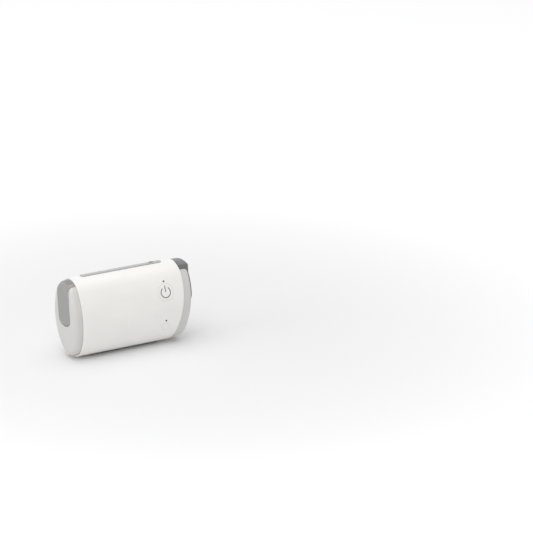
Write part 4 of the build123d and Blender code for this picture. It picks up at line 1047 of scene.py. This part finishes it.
half = times(sizes["Length"], 0.5)
neck = calculate(tree, "SUBTRACT", half, sizes["Cap"])
body = rounded_bar(times(neck, -INTO_CAPS), times(neck, INTO_CAPS), SLIMMER)
caps = around(tree, rounded_bar(neck, half, 1.0), 2)
caps = geo(tree, "StoreNamedAttribute", {
    "Geometry": caps, "Name": "metal", "Value": True}, data_type="BOOLEAN", domain="INSTANCE")
quarter = add(tree, "FunctionNodeRandomValue", {
    "Min": 0, "Max": 1, "Seed": sizes["Seed"]}, data_type="INT").outputs[2]
spin = times(quarter, math.pi / 2)
lying = instance(tree, sizes["Points"], join(tree, body, caps), x=sizes["Tilt"])
lying = geo(tree, "RotateInstances", {
    "Instances": lying, "Rotation": vector(tree, z=spin), "Local Space": True})
metal = geo(tree, "InputNamedAttribute", {"Name": "metal"}, data_type="BOOLEAN")
close_tree(tree, lying, sizes["Body"], metal, sizes["Metal"])
part_tree = tree
print("small-part tree has", len(tree.nodes), "nodes")

# %% Place the small parts
SMALL_PARTS = 46
SPACING = 2.6
MARGIN = 1.9

board_low, board_high = node_extent("main_board")
taken = [box for name in ("board_parts", "board_screws", "pressure_sensor") for box in islands(name)]
draw = random.Random(5)
spots = []
while len(spots) < SMALL_PARTS:
    x = draw.uniform(board_low.x + MARGIN, board_high.x - MARGIN)
    z = draw.uniform(board_low.z + MARGIN, board_high.z - MARGIN)
    clear = all(math.dist((x, z), spot) > SPACING for spot in spots)
    blocked = [low.x - MARGIN < x < high.x + MARGIN and low.z - MARGIN < z < high.z + MARGIN
               for low, high in taken]
    if clear and not any(blocked):
        spots.append((x, z))
small = grow(part_tree, [placed(x, board_back, z) for x, z in spots], Length=1.6 * MM, Width=0.8 * MM,
             Height=0.5 * MM, Cap=0.3 * MM, Seed=3, Tilt=TO_BACK, Body=finishes["ceramic"],
             Metal=finishes["solder"])
settle(small, "small_components", "housing")
print("small parts:", len(spots))

# %% [markdown]
# ## A studio
#
# Pale products are shown on white with light from all round, a wide softbox above and
# two smaller ones, high in front and low at the left. The world gives the light from
# all round. The floor keeps a deep shadow close to the machine and is white further off:
# a little light of its own, only for rays from the camera, sets in with the distance.
# An even glow would be simpler, but it would also wash the shadow out.

# %% A floor of white paper
FLOOR_HALF = 30.0  # metres, so the floor's edge is out of sight
FLOOR_LIFT = 0.35
NEAR, FAR = 0.12, 0.8  # metres from the machine between which the lift sets in


def seen_directly(tree):
    """1 where the camera looks, also in a gloss or through a clear piece; 0 for other light."""
    ray = add(tree, "ShaderNodeLightPath").outputs
    seen = calculate(tree, "MAXIMUM", ray["Is Camera Ray"], ray["Is Glossy Ray"])
    return calculate(tree, "MAXIMUM", seen, ray["Is Transmission Ray"])


floor_mesh = bpy.data.meshes.new("floor")
corners = [(x * FLOOR_HALF, y * FLOOR_HALF, 0) for x, y in ((-1, -1), (1, -1), (1, 1), (-1, 1))]
floor_mesh.from_pydata(corners, [], [range(4)])
floor = in_scene("floor", floor_mesh)
paper = bpy.data.materials.new("white_paper")
paper.use_nodes = True
tree = paper.node_tree
tree.nodes.clear()
place = add(tree, "ShaderNodeTexCoord").outputs["Object"]
away = add(tree, "ShaderNodeVectorMath", {0: place}, operation="LENGTH").outputs["Value"]
lift = add(tree, "ShaderNodeMapRange", {
    "Value": away, "From Min": NEAR, "From Max": FAR, "To Min": 0.0, "To Max": FLOOR_LIFT,
}, interpolation_type="SMOOTHSTEP").outputs["Result"]
lift = calculate(tree, "MULTIPLY", seen_directly(tree), lift)
glow = add(tree, "ShaderNodeEmission", {"Color": (1, 1, 1, 1), "Strength": lift}).outputs[0]
grain = add(tree, "ShaderNodeTexNoise", {"Scale": 3.0, "Detail": 2.0}).outputs["Fac"]
white = tint(grain, linear("eeeeef"), linear("f2f2f2"))
matt = add(tree, "ShaderNodeBsdfDiffuse", {"Color": white}).outputs[0]
both = add(tree, "ShaderNodeAddShader", {0: matt, 1: glow}).outputs[0]
add(tree, "ShaderNodeOutputMaterial", {"Surface": both})
floor_mesh.materials.append(paper)
print("the floor glows from", NEAR, "to", FAR, "m off")

# %% Light from all round
AMBIENT = 0.62

world = bpy.data.worlds.new("studio")
bpy.context.scene.world = world
world.use_nodes = True
tree = world.node_tree
tree.nodes.clear()
strength = spread(seen_directly(tree), AMBIENT, 1.0, start=0, end=1)
sky = add(tree, "ShaderNodeBackground", {"Color": (1, 1, 1, 1), "Strength": strength}).outputs[0]
add(tree, "ShaderNodeOutputWorld", {"Surface": sky})
print("the world has", len(tree.nodes), "nodes")

# %% Three softboxes
AIM = Vector((0, 0, 0.04))


def softbox(name, size, place, watts):
    """A square lamp that faces the machine."""
    lamp = bpy.data.lights.new(name, "AREA")
    lamp.size = size
    lamp.energy = watts
    made = in_scene(name, lamp)
    made.location = place
    made.rotation_euler = (AIM - made.location).to_track_quat("-Z", "Y").to_euler()


softbox("softbox_above", 1.4, (-0.1, 0.1, 1.3), 6.5)
softbox("softbox_front", 0.8, (-0.5, -0.7, 1.1), 3.0)
softbox("softbox_left", 0.9, (-1.4, 0.0, 0.55), 3.0)
print("studio set")
